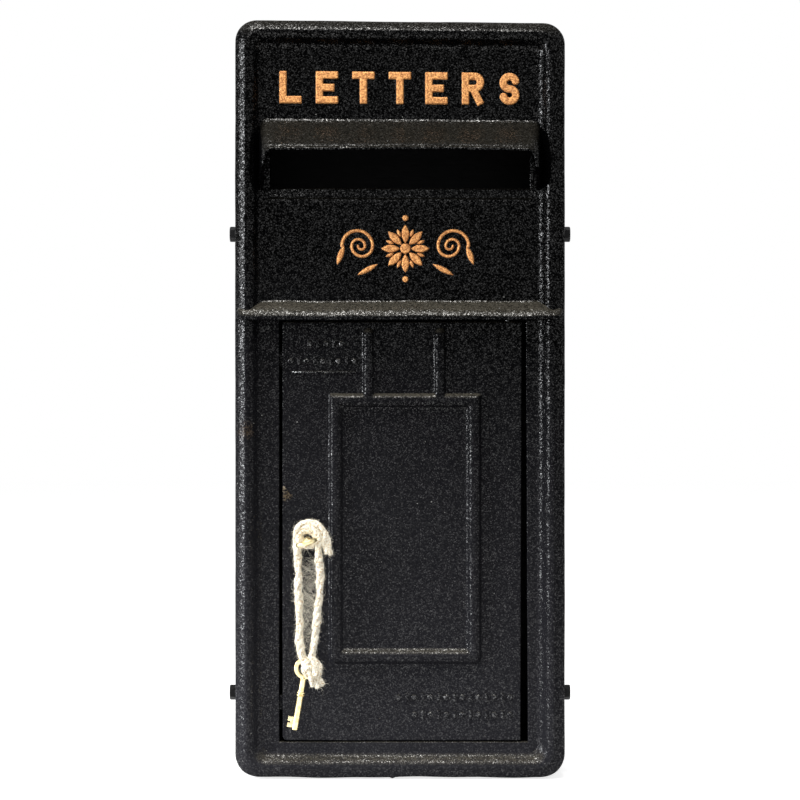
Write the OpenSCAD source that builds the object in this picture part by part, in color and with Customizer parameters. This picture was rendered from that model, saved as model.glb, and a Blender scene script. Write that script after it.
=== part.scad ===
// Wall letter box: a cast-iron front with a hinged door, on a sheet-steel box.
// Millimetres. +X is to the right as seen from the front, +Z is up, and the front faces -Y.
// The origin is the centre of the four wall-screw holes, in the plane of the wall.

/* [Casting] */
// Width of the cast front
casting_w = 248; // [228:1:280]
// Height of the cast front
casting_h = 570; // [545:1:640]
// Depth of the casting's side walls, from the rim's crown to the back edge
casting_d = 38; // [34:1:60]
// Thickness of the casting's side walls
casting_wall = 5; // [4:0.5:7]
// Thickness of the front plate, and of the door
plate_t = 5; // [4.5:0.5:7]
// Radius of the casting's outer corners
corner_r = 16.5; // [14:0.5:24]
// Width of the raised rim, from the outer edge to the foot of its inner slope
rim_w = 20.5; // [19:0.5:26]
// Height of the rim's crown above the front plate
rim_rise = 9; // [6:0.5:11]
// Width of the flat on top of the rim
rim_flat = 3; // [2:0.5:5]
// Radius in the inner corners of the rim
rim_inner_r = 6; // [3:0.5:10]

/* [Hood and slot] */
// Distance from the casting's top down to the root of the hood
hood_drop = 76; // [72:1:90]
// Width of the hood
hood_w = 210; // [180:1:212]
// How far the hood stands out in front of the plate
hood_reach = 27; // [20:1:34]
// How far the hood's top slopes down from root to lip
hood_fall = 19.7; // [12:0.1:22]
// Height of the hood's lip
hood_lip = 2.8; // [2:0.1:4]
// Height of the hood's cheeks where they meet the plate
hood_cheek = 52; // [48:1:60]
// Wall thickness of the hood
hood_wall = 3.2; // [2.5:0.1:5]
// Radius of the hood's shoulders
hood_r = 8; // [4:0.5:14]
// Width of the posting slot
slot_w = 195; // [150:1:198]
// Height of the posting slot
slot_h = 31; // [24:1:34]
// Distance from the hood's root down to the slot's lower edge
slot_drop = 50; // [48:1:52]
// Height of the sloping sill below the slot
sill_h = 8.7; // [5:0.1:14]
// Depth of the sill's slope at the slot
sill_depth = 2.2; // [1:0.1:3.5]

/* [Drip ledge] */
// Distance from the casting's top down to the underside of the ledge
ledge_drop = 226; // [222:1:250]
// Height of the ledge
ledge_h = 13.1; // [10:0.1:18]
// How far the ledge stands out in front of the plate
ledge_reach = 12.5; // [10:0.5:18]
// Step from the casting's side to the end of the ledge
ledge_inset = 1.5; // [0.5:0.5:6]

/* [Lettering and ornament] */
// Height of the raised letters
letter_h = 25; // [18:0.5:28]
// Width of a raised letter
letter_w = 17.5; // [16:0.5:19]
// Width of the letters' strokes
letter_stroke = 5.6; // [4:0.1:6]
// Length of the whole word
word_w = 182; // [160:1:188]
// Distance from the casting's top down to the top of the letters
word_drop = 38; // [30:1:44]
// How far lettering and ornament stand out
raise = 2.4; // [1:0.1:3]
// Height of the ornament's centre above the middle of the panel between sill and ledge
ornament_up = 1.8; // [-3:0.1:3]
// Sideways place of the ornament's centre
ornament_x = 4; // [-20:1:20]
// Width of the ornament's scroll lines
scroll_w = 3; // [2:0.1:4]
// Radius of the largest turn of each scroll
scroll_r = 13; // [10:0.5:14]
// Length of a petal of the ornament
petal_l = 15; // [10:0.5:17]
// Width of a petal of the ornament
petal_w = 6.5; // [4:0.5:7]

/* [Door opening] */
// Width of the plate between the rim's foot and the opening, left
strip_l = 12.7; // [10:0.1:18]
// Width of the plate between the rim's foot and the opening, right
strip_r = 8.8; // [8:0.1:16]
// Height of the plate between the rim's foot and the opening, below
strip_b = 6.8; // [5:0.1:14]
// Gap beside the door, lock side
gap_l = 2.5; // [1.5:0.1:4]
// Gap beside the door, hinge side
gap_r = 4.1; // [4:0.1:6]
// Gap above the door
gap_t = 1; // [0.6:0.1:3]
// Gap below the door
gap_b = 1.1; // [0.6:0.1:3]

/* [Door relief] */
// Distance from the door's left edge to the notice frame
frame_l = 35; // [30:0.5:45]
// Distance from the door's right edge to the notice frame
frame_r = 29.5; // [24:0.5:40]
// Distance from the door's top to the notice frame
frame_t = 54; // [50:1:70]
// Distance from the door's bottom to the notice frame
frame_b = 58; // [50:1:80]
// Width of the notice frame's half-round bars
frame_bar = 11.5; // [8:0.5:16]
// Height of the notice frame's bars
frame_rise = 4.6; // [3:0.1:6]
// Width of the two upright ribs
rib_w = 8.6; // [6:0.1:12]
// Distance from the notice frame's left edge to the left rib's middle
rib_inset = 29.6; // [20:0.1:38]
// Distance between the ribs' middles
rib_pitch = 53.8; // [40:0.1:60]
// Distance from the door's top to the top of the ribs
rib_drop = 5.5; // [4:0.5:12]
// Height of the small beads and bars on the door
bead_rise = 0.9; // [0.5:0.1:1.5]
// Pitch of the small beads and bars
bead_pitch = 6; // [5:0.5:8]
// Radius of a small bead
bead_r = 2.1; // [1.2:0.1:2.3]
// Distance from the door's side edges to the ends of the rows
bead_in = 6; // [4:0.5:10]
// Height from one row to the next
row_step = 13; // [8:0.5:16]
// Distance from the door's top to its upper row
upper_rows = 16.5; // [12:0.5:20]
// Length of the longer upper row, and of the line below it
upper_row_l = 49; // [30:1:54]
// Length of the shorter upper row
short_row_l = 28; // [16:1:40]
// Width of the line below the upper rows
line_w = 1.6; // [1:0.1:3]
// Distance from the door's bottom to its lowest row
lower_rows = 19.5; // [14:0.5:28]
// Length of the longer lower row
lower_row_l = 86; // [50:1:100]
// Length of the shorter lower row
last_row_l = 74; // [40:1:90]

/* [Hinge] */
// Radius of the hinge pins
pin_r = 2; // [1.5:0.1:2.5]
// Radial clearance round the hinge pins
pin_clear = 0.08; // [0.03:0.01:0.1]
// Distance from the door's edge to the pins' axis
hinge_inset = 9.5; // [9.5:0.1:12]
// Distance from the back of the door to the pins' axis
hinge_back = 3.7; // [3.6:0.1:4.2]
// Outer radius of the door's hinge barrels
barrel_r = 4.6; // [4.4:0.1:5.4]
// Length of a hinge barrel
barrel_l = 16; // [10:0.5:24]
// Height of the casting's hinge lugs
lug_h = 12; // [8:0.5:14]
// Metal round the pin in a lug
lug_wall = 3.5; // [3:0.5:5]
// End clearance between a barrel and its lug
hinge_play = 0.3; // [0.2:0.1:0.4]
// Height of a pin's head
pin_head_h = 1.5; // [1:0.1:2]
// Radius of a pin's head
pin_head_r = 3.4; // [2.8:0.1:3.5]

/* [Steel box] */
// Depth of the steel box, from the wall to the back of the front plate
box_d = 132; // [80:1:200]
// Thickness of the sheet
sheet_t = 1.5; // [1:0.1:2.5]
// Clearance between the box and the casting's walls
box_clear = 0.2; // [0.1:0.1:0.4]
// Clearance between the back plate and the wrap
back_clear = 0.1; // [0.05:0.05:0.3]
// Width between the wall-screw holes
wall_hole_dx = 160; // [120:1:180]
// Height between the wall-screw holes
wall_hole_dz = 440; // [400:1:480]
// Diameter of the wall-screw holes
wall_hole_d = 7; // [4.5:0.1:9]

/* [Side bolts] */
// Distance from the casting's top down to the upper bolts
bolt_top = 160; // [150:1:190]
// Distance from the casting's bottom up to the lower bolts
bolt_bottom = 62.5; // [50:0.5:90]
// Distance from the casting's back edge to the bolts
bolt_back = 12; // [9:0.5:14]
// Thread diameter of the bolts
bolt_d = 6; // [4:0.5:6]
// Distance across the flats of the heads and nuts
bolt_af = 10; // [8:0.5:10]
// Height of the bolt heads
bolt_head_h = 4; // [3:0.1:5]
// Thickness of the nuts
nut_h = 5; // [4:0.1:6]
// Length of thread past the nut
bolt_tail = 2; // [1:0.5:6]
// Diameter of the washers
washer_d = 12; // [11:0.5:14]
// Thickness of the washers
washer_t = 1; // [0.6:0.1:2]
// Radial clearance of the bolt holes
bolt_clear = 0.3; // [0.2:0.1:0.6]

/* [Lock] */
// Distance from the door's left edge to the key's axis
key_in = 19.3; // [19:0.1:24]
// Distance from the door's bottom up to the key's axis
key_up = 150.5; // [110:0.5:190]
// Depth of the lock case behind the door
lock_d = 12; // [11:0.5:12]
// Thickness of the case's plates
lock_t = 1.2; // [0.8:0.1:1.5]
// Width of the lock case to the left of the key's axis
lock_left = 17.8; // [17:0.1:18]
// Width of the lock case to the right of the key's axis
lock_right = 19; // [19:0.5:24]
// Height of the lock case above the key's axis
lock_up = 11; // [10:0.5:14]
// Height of the lock case below the key's axis
lock_down = 17; // [16:0.5:20]
// Height of the screw flanges above and below the case
flange_h = 8; // [7:0.5:12]
// Travel of the bolt
bolt_throw = 6; // [4:0.1:6]
// Thickness of the bolt
latch_t = 3.4; // [2:0.1:4]
// Height of the bolt
latch_h = 10.6; // [10.2:0.1:11]
// Distance from the key's axis down to the bolt's top edge
latch_drop = 2.8; // [2.6:0.1:3]
// Distance from the bolt's end to the door's edge when the bolt is drawn back
latch_back = 0.4; // [0.2:0.1:1]
// Clearance round the bolt
latch_clear = 0.3; // [0.2:0.1:0.4]
// Radius of the lock's screws
screw_r = 1.6; // [1.2:0.1:1.8]
// Radius of the lock's screw heads
screw_head_r = 3; // [2.4:0.1:3.2]
// Height of the lock's screw heads
screw_head_h = 1.8; // [1.2:0.1:2.4]
// Depth of the lock's screws in the door
screw_in = 4; // [3:0.1:4]
// Radius of the posts inside the lock case
post_r = 2.4; // [2.2:0.1:2.6]
// Distance from the case's sides to the posts' middles
post_in = 5.4; // [5:0.1:6]
// Distance from the case's top to the posts' middles
post_down = 4.8; // [4.4:0.1:5.2]
// Radius of the pin that guides the bolt
guide_r = 1.6; // [1.2:0.1:1.8]
// Radius of the cover's screws
cover_screw_r = 1.1; // [0.8:0.1:1.2]
// Length of the cover's screws in their posts
cover_screw_in = 7; // [4:0.5:8]
// Thickness of the leaf spring
spring_t = 0.4; // [0.3:0.1:0.6]

/* [Keys] */
// Radius of a key's shank
shank_r = 2.15; // [1.8:0.05:2.3]
// Length of a key from its tip to the middle of its bow
key_l = 46.5; // [46:0.5:50]
// Outer radius of the bow
bow_r = 8.25; // [7:0.25:8.5]
// Radius of the bow's hole
bow_hole_r = 4.9; // [3.5:0.1:5]
// Thickness of the bow
bow_t = 2.2; // [1.6:0.1:3]
// Reach of the bit from the key's axis
bit_r = 6.1; // [5.6:0.1:6.2]
// Length of the bit along the shank
bit_l = 8; // [5:0.1:8.2]
// Thickness of the bit
bit_t = 2; // [1.4:0.1:2.2]
// Length of shank past the bit
key_nose = 1.5; // [1:0.1:2]
// How far the key's tip reaches into the hole in the case's cover
key_past = 0.4; // [0.2:0.1:0.8]
// Distance from the bow's middle to the collar
collar_at = 17.4; // [17:0.1:19]
// Length of the collar
collar_l = 3.6; // [2:0.1:5]
// Radius of the collar
collar_r = 3; // [2.6:0.1:3.6]
// Angle of the drawn bolt's key bit above level
key_rest = 17; // [0:1:25]
// Clearance of the keyhole round the key
keyhole_clear = 0.35; // [0.2:0.05:0.6]

/* [Twine] */
// Diameter of the twine
twine_d = 5; // [3.5:0.5:6]
// Clearance between the twine and the key's neck
twine_clear = 0.35; // [0.3:0.05:0.5]
// Radius of the upper knot
knot_r = 10; // [7:0.5:12]
// Radius of the lower knot
low_knot_r = 7; // [5:0.5:9]

/* [Hidden] */
$fn = 48;
embed = 1;
cut = 1;

face_y = -(box_d + plate_t);
back_y = -box_d;
wall_back = casting_d - rim_rise;
top_z = casting_h / 2;
side_x = casting_w / 2;

hood_z = top_z - hood_drop;
hood_slope = atan(hood_fall / hood_reach);
slot_z = hood_z - slot_drop;
ledge_z = top_z - ledge_drop;
word_z = top_z - word_drop - letter_h;
ornament_z = (slot_z - sill_h + ledge_z + ledge_h) / 2 + ornament_up;

open_l = -side_x + rim_w + strip_l;
open_r = side_x - rim_w - strip_r;
open_b = -top_z + rim_w + strip_b;
door_l = open_l + gap_l;
door_r = open_r - gap_r;
door_t = ledge_z - gap_t;
door_b = open_b + gap_b;

hinge_x = door_r - hinge_inset;
hinge_y = back_y + hinge_back;
lug_half = pin_r + lug_wall;
barrel_t = ledge_z - hinge_play;
barrel_b = open_b + hinge_play;

stop_w = 11;
stop_lap = 2.5;
stop_t = 3;
stop_play = 0.3;
stop_from_end = 28;

box_inset = casting_wall + box_clear;
box_w = casting_w - 2 * box_inset;
box_h = casting_h - 2 * box_inset;
box_r = corner_r - box_inset;

bolt_y = face_y + wall_back - bolt_back;
bolt_zs = [top_z - bolt_top, -top_z + bolt_bottom];

key_x = door_l + key_in;
key_z = door_b + key_up;
key_turn = 90 + key_rest;
case_back_y = back_y + lock_d;
case_l = key_x - lock_left;
case_r = key_x + lock_right;
case_t = key_z + lock_up;
case_b = key_z - lock_down;
key_tip_y = case_back_y + key_past;
bow_y = key_tip_y - key_l;
posts = [[case_l + post_in, case_t - post_down], [case_r - post_in, case_t - post_down]];
screw_xs = [case_l + 6, case_r - 6];
screw_zs = [case_t + flange_h / 2, case_b - flange_h / 2];
guide_x = key_x + 4;
latch_l = door_l + latch_back;
latch_r = key_x + 15.3;
latch_t_z = key_z - latch_drop;
latch_b_z = latch_t_z - latch_h;
latch_y = back_y + lock_t + latch_clear;
guide_z = latch_t_z - 7.2;
notch_d = bit_r - latch_drop + 0.7;
notch_l = key_x - bit_t / 2 - 0.3 + bolt_throw;
notch_r = notch_l + bit_t + 2.5;

// Points of the two strands, from the upper knot down to the lower one
strand_left = [
    [-76, -153.5, -106], [-76.5, -153.5, -111], [-76.5, -153.5, -117], [-76.5, -153, -123],
    [-76, -153, -129], [-76.5, -153.5, -135], [-76.5, -153.5, -141], [-76, -153, -147],
    [-76, -153, -153], [-76, -153.5, -159], [-75.5, -153.5, -165], [-75.5, -153.5, -171],
    [-75.5, -153, -177], [-75, -153, -183], [-74, -153.5, -189], [-72, -154, -194],
    [-69.5, -154.5, -198.5]];
strand_right = [
    [-61.5, -153.5, -105], [-61, -153.5, -110], [-60.5, -153.5, -116], [-60, -153, -122],
    [-59.5, -153, -128], [-59.5, -153.5, -134], [-59.5, -153.5, -140], [-60, -153, -146],
    [-60.5, -153, -152], [-61.5, -153.5, -158], [-62, -153.5, -164], [-62.5, -153.5, -170],
    [-63, -153, -176], [-64, -153, -182], [-65, -153, -188], [-66, -153.5, -194],
    [-66.5, -154.5, -199]];
spare_tip = [-78.5, -153, -247.5];
spare_lean = 9.8;

// Points of an arc, from angle a0 to a1
function arc(cx, cy, r, a0, a1, n = 6) =
    [for (i = [0:n]) let (a = a0 + (a1 - a0) * i / n) [cx + r * cos(a), cy + r * sin(a)]];

// A pointed leaf outline along x, l long and w wide
function leaf(l, w, n = 6) = concat(
    [for (i = [0:n]) let (t = -1 + 2 * i / n) [t * l / 2, -w / 2 * (1 - t * t)]],
    [for (i = [1:n - 1]) let (t = 1 - 2 * i / n) [t * l / 2, w / 2 * (1 - t * t)]]);

function unit(v) = v / norm(v);

// Local x, y and z become world X, Z and forwards, from the plate's front face
module facing() {
    translate([0, face_y, 0]) rotate([90, 0, 0]) children();
}

// Extrudes a profile of (Y, Z) along X
module along_x(x0, x1) {
    translate([x0, 0, 0]) rotate([90, 0, 90]) linear_extrude(x1 - x0) children();
}

module box_from_to(a, b) {
    translate(a) cube(b - a);
}

// A rounded rectangle, centred, from height v0 to v1
module slab(w, h, r, v0, v1) {
    translate([-w / 2 + r, -h / 2, v0]) cube([w - 2 * r, h, v1 - v0]);
    for (s = [-1, 1])
        translate([s * (w / 2 - r / 2) - r / 2, -h / 2 + r, v0]) cube([r, h - 2 * r, v1 - v0]);
    corners(w, h, r) translate([0, 0, v0]) rotate_extrude(angle = 90) square([r, v1 - v0]);
}

// Puts a quarter turn in each corner of a rounded rectangle
module corners(w, h, r) {
    for (c = [[1, 1, 0], [-1, 1, 90], [-1, -1, 180], [1, -1, 270]])
        translate([c[0] * (w / 2 - r), c[1] * (h / 2 - r), 0]) rotate([0, 0, c[2]]) children();
}

// Sweeps a profile of (inwards, up) round a rounded rectangle
module ring_sweep(w, h, r, profile) {
    for (side = [[w, h, 0], [h, w, 90], [w, h, 180], [h, w, 270]])
        rotate([0, 0, side[2]]) translate([0, side[1] / 2 - r, 0]) rotate([90, 0, 0])
            linear_extrude(side[1] - 2 * r) polygon([for (p = profile) [side[0] / 2 - p[0], p[1]]]);
    corners(w, h, r) rotate_extrude(angle = 90) polygon([for (p = profile) [r - p[0], p[1]]]);
}

// A bar bent to part of a ring: outer radius r, width w, height h
module arc_bar(r, w, a0, a1, h) {
    rotate([0, 0, a0]) rotate_extrude(angle = a1 - a0) translate([r - w, 0]) square([w, h]);
}

// The casting's outer form: walls with a rounded front edge
module rim_block() {
    round_r = rim_rise;
    crown = concat([[0, 0]], arc(round_r, 0, round_r, 180, 90), [[round_r, 0]]);
    slab(casting_w, casting_h, corner_r, -wall_back, 0);
    slab(casting_w - 2 * round_r, casting_h - 2 * round_r, corner_r - round_r, 0, rim_rise);
    ring_sweep(casting_w, casting_h, corner_r, crown);
}

// The sunk field inside the rim, with a sloping edge
module rim_pocket() {
    crown_in = rim_rise + rim_flat;
    slope = rim_w - crown_in;
    r = rim_inner_r + slope;
    w = casting_w - 2 * crown_in;
    h = casting_h - 2 * crown_in;
    profile = [[r, 0], [slope, 0], [slope - 1.2, 0.35], [slope - 2.2, 1.2],
        [1.3, rim_rise - 1], [0, rim_rise], [0, rim_rise + cut], [r, rim_rise + cut]];
    ring_sweep(w, h, r, profile);
    translate([-w / 2 + r, -h / 2 + r, 0]) cube([w - 2 * r, h - 2 * r, rim_rise + cut]);
}

module hood() {
    u_h = hood_cheek + hood_fall;
    inner_r = max(hood_r - hood_wall, 0.5);
    x = hood_w / 2;
    outer = concat([[-x, -u_h]], arc(-x + hood_r, -hood_r, hood_r, 180, 90),
        arc(x - hood_r, -hood_r, hood_r, 90, 0), [[x, -u_h]]);
    xi = x - hood_wall;
    t = hood_wall;
    inner = concat([[-xi, -u_h - cut]], arc(-xi + inner_r, -t - inner_r, inner_r, 180, 90),
        arc(xi - inner_r, -t - inner_r, inner_r, 90, 0), [[xi, -u_h - cut]]);
    front_y = face_y - hood_reach;
    lip_z = hood_z - hood_fall - hood_lip;
    root_y = face_y + embed;
    intersection() {
        translate([0, face_y, hood_z]) rotate([90 + hood_slope, 0, 0]) difference() {
            translate([0, 0, -hood_cheek]) linear_extrude(hood_cheek + 2 * hood_reach)
                polygon(outer);
            translate([0, 0, -hood_cheek - cut]) linear_extrude(hood_cheek + 2 * hood_reach + 2 * cut)
                polygon(inner);
        }
        along_x(-x - cut, x + cut) polygon([[root_y, hood_z], [face_y, hood_z],
            [front_y, hood_z - hood_fall], [front_y, lip_z],
            [face_y, hood_z - hood_cheek], [root_y, hood_z - hood_cheek]]);
    }
}

module ledge() {
    half = side_x - ledge_inset;
    r = 8;
    h = ledge_h;
    d = ledge_reach;
    intersection() {
        along_x(-half, half) polygon([for (p = [[-embed, 0], [-embed, h], [0.5, h], [0.5 * d, 0.82 * h],
            [0.8 * d, 0.64 * h], [0.95 * d, 0.46 * h], [d, 0.28 * h], [0.95 * d, 0.12 * h],
            [0.84 * d, 0]]) [face_y - p[0], ledge_z + p[1]]]);
        translate([0, face_y, ledge_z - cut]) linear_extrude(ledge_h + 2 * cut) polygon(concat(
            [[half, embed]], arc(half - r, -d + r, r, 0, -90), arc(-half + r, -d + r, r, 270, 180),
            [[-half, embed]]));
    }
}

// Letters, from the origin up and to the right, cast into the face behind them
module letter_l() {
    cube([letter_stroke, letter_h, raise + embed]);
    cube([letter_w, letter_stroke, raise + embed]);
}

module letter_e() {
    letter_l();
    translate([0, letter_h - letter_stroke, 0]) cube([letter_w, letter_stroke, raise + embed]);
    translate([0, (letter_h - letter_stroke) / 2, 0])
        cube([letter_w * 0.85, letter_stroke, raise + embed]);
}

module letter_t() {
    translate([(letter_w - letter_stroke) / 2, 0, 0]) cube([letter_stroke, letter_h, raise + embed]);
    translate([0, letter_h - letter_stroke, 0]) cube([letter_w, letter_stroke, raise + embed]);
}

module letter_r() {
    bowl_r = letter_h * 0.31;
    s = letter_stroke;
    bowl_x = letter_w - bowl_r;
    cube([s, letter_h, raise + embed]);
    for (z = [letter_h - s, letter_h - 2 * bowl_r])
        translate([0, z, 0]) cube([bowl_x, s, raise + embed]);
    translate([bowl_x, letter_h - bowl_r, 0]) arc_bar(bowl_r, s, -90, 90, raise + embed);
    linear_extrude(raise + embed) polygon([[s, letter_h - 2 * bowl_r + s / 2],
        [letter_w - s * 1.1, 0], [letter_w + 0.5, 0], [s + s * 1.2, letter_h - 2 * bowl_r + s / 2]]);
}

module letter_s() {
    r = (letter_h + letter_stroke) / 4;
    x = letter_w / 2;
    top = letter_h - r;
    linear_extrude(raise + embed)
        polygon(concat(arc(x, top, r, 15, 270, 12), arc(x, r, r - letter_stroke, 90, -165, 12),
            arc(x, r, r, -165, 90, 12), arc(x, top, r - letter_stroke, 270, 15, 12)));
}

module word() {
    pitch = (word_w - letter_w) / 6;
    translate([-word_w / 2, word_z, -embed]) {
        letter_l();
        translate([pitch, 0, 0]) letter_e();
        for (i = [2, 3]) translate([i * pitch, 0, 0]) letter_t();
        translate([4 * pitch, 0, 0]) letter_e();
        translate([5 * pitch, 0, 0]) letter_r();
        translate([6 * pitch, 0, 0]) letter_s();
    }
}

// One scroll: half turns of shrinking radius, each starting where the last one ends
module scroll() {
    shrink = [1, 0.72, 0.5, 0.32];
    mids = [for (s = shrink) s * scroll_r - scroll_w / 2];
    ends = [for (i = 0, x = 0; i < 4; x = x + (i % 2 == 0 ? -1 : 1) * 2 * mids[i], i = i + 1) x];
    for (i = [0:3])
        translate([ends[i] + (i % 2 == 0 ? -1 : 1) * mids[i], 0, 0])
            arc_bar(mids[i] + scroll_w / 2, scroll_w, i % 2 * 180, 180 + i % 2 * 180, raise + embed);
}

module petal(angle, near, l, w) {
    rotate([0, 0, angle]) translate([near + l / 2, 0, 0]) linear_extrude(raise + embed)
        polygon(leaf(l, w));
}

module ornament() {
    boss_r = 4.2;
    near = boss_r - 0.6;
    h = raise + embed;
    translate([ornament_x, ornament_z, -embed]) {
        cylinder(r = boss_r, h = h + 0.8);
        for (i = [0:7]) petal(i * 45, near, petal_l, petal_w);
        for (i = [0:7]) petal(i * 45 + 22.5, near + 0.35 * petal_l, 0.5 * petal_l, 0.5 * petal_w);
        for (s = [-1, 1])
            translate([0, s * (near + petal_l + 4.5), 0]) cylinder(r = 2.6, h = h);
        for (m = [0, 1])
            mirror([m, 0, 0]) {
                translate([near + petal_l + 3 + 2 * scroll_r, 2, 0]) scroll();
                translate([near + petal_l + 3 + 2 * scroll_r - scroll_w / 2, 2, 0])
                    petal(-70, -1, 1.3 * scroll_r, 1.7 * scroll_w);
                translate([near + petal_l + 2, -0.9 * scroll_r, 0])
                    petal(-28, -1, 1.5 * scroll_r, 1.5 * scroll_w);
            }
    }
}

// A lug on the plate's back with the pin's hole, from z0 to z1
module hinge_lug(z0, z1) {
    box_from_to([hinge_x - lug_half, back_y - embed, z0], [hinge_x + lug_half, hinge_y + lug_half, z1]);
}

// A tab behind the door's free edge, which the shut door rests on
module door_stop(z) {
    x1 = door_l + stop_lap;
    y0 = back_y + stop_play;
    foot = open_l - 0.7;
    box_from_to([x1 - stop_w, y0, z - stop_w / 2], [x1, y0 + stop_t, z + stop_w / 2]);
    box_from_to([x1 - stop_w, back_y - embed, z - stop_w / 2], [foot, y0 + stop_t, z + stop_w / 2]);
}

module front_casting() {
    color([0.05, 0.05, 0.055]) difference() {
        union() {
            facing() difference() {
                rim_block();
                rim_pocket();
                slab(casting_w - 2 * casting_wall, casting_h - 2 * casting_wall,
                    corner_r - casting_wall, -wall_back - cut, -plate_t);
                translate([open_l, open_b, -plate_t - cut])
                    cube([open_r - open_l, ledge_z - open_b, plate_t + 2 * cut]);
            }
            hood();
            ledge();
            hinge_lug(ledge_z, ledge_z + lug_h);
            hinge_lug(open_b - lug_h, open_b);
            door_stop(door_t - stop_from_end);
            door_stop(door_b + stop_from_end);
            facing() word();
            facing() ornament();
        }
        box_from_to([-slot_w / 2, face_y - cut, slot_z], [slot_w / 2, back_y + cut, slot_z + slot_h]);
        along_x(-slot_w / 2 - 4, slot_w / 2 + 4) polygon([[face_y - cut, slot_z - sill_h],
            [face_y, slot_z - sill_h], [face_y + sill_depth, slot_z], [face_y - cut, slot_z]]);
        translate([hinge_x, hinge_y, open_b - lug_h - cut])
            cylinder(r = pin_r + pin_clear, h = lug_h + 2 * cut);
        translate([hinge_x, hinge_y, ledge_z - cut])
            cylinder(r = pin_r + pin_clear, h = lug_h + 2 * cut);
        for (s = [-1, 1], z = bolt_zs)
            translate([s * (side_x - casting_wall / 2), bolt_y, z]) rotate([0, 90, 0])
                cylinder(r = bolt_d / 2 + bolt_clear, h = 2 * casting_wall, center = true);
    }
}

module box_shell() {
    color([0.10, 0.10, 0.11]) difference() {
        rotate([90, 0, 0]) difference() {
            slab(box_w, box_h, box_r, 0, box_d);
            slab(box_w - 2 * sheet_t, box_h - 2 * sheet_t, box_r - sheet_t, -cut, box_d + cut);
        }
        for (s = [-1, 1], z = bolt_zs)
            translate([s * box_w / 2, bolt_y, z]) rotate([0, 90, 0])
                cylinder(r = bolt_d / 2 + bolt_clear, h = 4 * sheet_t, center = true);
    }
}

module back_plate() {
    inset = 2 * (sheet_t + back_clear);
    color([0.12, 0.12, 0.13]) difference() {
        rotate([90, 0, 0])
            slab(box_w - inset, box_h - inset, box_r - sheet_t - back_clear, 0, sheet_t);
        for (sx = [-1, 1], sz = [-1, 1])
            translate([sx * wall_hole_dx / 2, -sheet_t / 2, sz * wall_hole_dz / 2])
                rotate([90, 0, 0]) cylinder(d = wall_hole_d, h = 3 * sheet_t, center = true);
    }
}

// Puts one of its children at each side bolt, with +Z pointing out of the casting
module at_side_bolts() {
    for (s = [-1, 1], z = bolt_zs)
        translate([s * side_x, bolt_y, z]) rotate([0, s * 90, 0]) children();
}

module side_bolts() {
    grip = box_inset + sheet_t + nut_h + bolt_tail;
    color([0.07, 0.07, 0.075]) at_side_bolts() {
        translate([0, 0, -grip]) cylinder(d = bolt_d, h = grip + washer_t + bolt_head_h / 2);
        translate([0, 0, washer_t]) cylinder(d = bolt_af / cos(30), h = bolt_head_h, $fn = 6);
    }
}

module side_washers() {
    color([0.09, 0.09, 0.095]) at_side_bolts() difference() {
        cylinder(d = washer_d, h = washer_t);
        translate([0, 0, -cut]) cylinder(d = bolt_d + 2 * bolt_clear, h = washer_t + 2 * cut);
    }
}

module side_nuts() {
    color([0.55, 0.55, 0.56]) at_side_bolts()
        translate([0, 0, -box_inset - sheet_t - nut_h]) difference() {
            cylinder(d = bolt_af / cos(30), h = nut_h, $fn = 6);
            translate([0, 0, -cut]) cylinder(d = bolt_d + 0.1, h = nut_h + 2 * cut);
        }
}

// A pin from its head's seat, as long as the lug and most of the barrel
module hinge_pin() {
    l = lug_h + hinge_play + barrel_l - 2;
    color([0.62, 0.62, 0.63]) {
        translate([0, 0, -l]) cylinder(r = pin_r, h = l + pin_head_h / 2);
        cylinder(r = pin_head_r, h = pin_head_h);
    }
}

module upper_hinge_pin() {
    translate([hinge_x, hinge_y, ledge_z + lug_h]) hinge_pin();
}

module lower_hinge_pin() {
    translate([hinge_x, hinge_y, open_b - lug_h]) rotate([180, 0, 0]) hinge_pin();
}

// The notice frame: a half-round bar round a rectangle, mitred at its corners
module notice_frame() {
    x = [door_l + frame_l, door_r - frame_r];
    z = [door_b + frame_b, door_t - frame_t];
    bar = [for (p = arc(0, 0, 1, 180, 0, 10)) [frame_bar / 2 * (1 + p[0]), frame_rise * p[1]]];
    profile = concat([[0, -embed]], bar, [[frame_bar, -embed]]);
    n = len(profile);
    polyhedron(
        [for (c = [[0, 0], [1, 0], [1, 1], [0, 1]], p = profile)
            [x[c[0]] + (1 - 2 * c[0]) * p[0], z[c[1]] + (1 - 2 * c[1]) * p[0], p[1]]],
        [for (k = [0:3], i = [0:n - 1])
            [k * n + i, k * n + (i + 1) % n, (k + 1) % 4 * n + (i + 1) % n, (k + 1) % 4 * n + i]]);
}

// An upright half-round rib with a domed top, turned about its own axis
module door_rib(x) {
    r = rib_w / 2;
    z0 = door_t - frame_t - frame_bar / 2;
    z1 = door_t - rib_drop;
    translate([x, z0, 0]) rotate([-90, 0, 0]) rotate_extrude()
        polygon(concat([[0, 0], [r, 0]], arc(0, z1 - z0 - r, r, 0, 90)));
}

// A row of beads and short bars, l long, from x0 on
module bead_row(x0, l, z) {
    n = floor(l / bead_pitch);
    for (i = [0:n])
        translate([x0 + i * bead_pitch, z, -embed])
            if (i % 2 == 0) cylinder(r = bead_r, h = bead_rise + embed, $fn = 24);
            else translate([-bead_r / 2, -1.5 * bead_r, 0])
                cube([bead_r, 3 * bead_r, bead_rise + embed]);
}

// The keyhole's outline, for a hole through a plate
module keyhole(l) {
    cylinder(r = shank_r + keyhole_clear, h = l);
    translate([-bit_t / 2 - keyhole_clear, -bit_r - keyhole_clear, 0])
        cube([bit_t + 2 * keyhole_clear, bit_r, l]);
}

module at_key(y) {
    translate([key_x, y, key_z]) rotate([90, 0, 0]) children();
}

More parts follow.
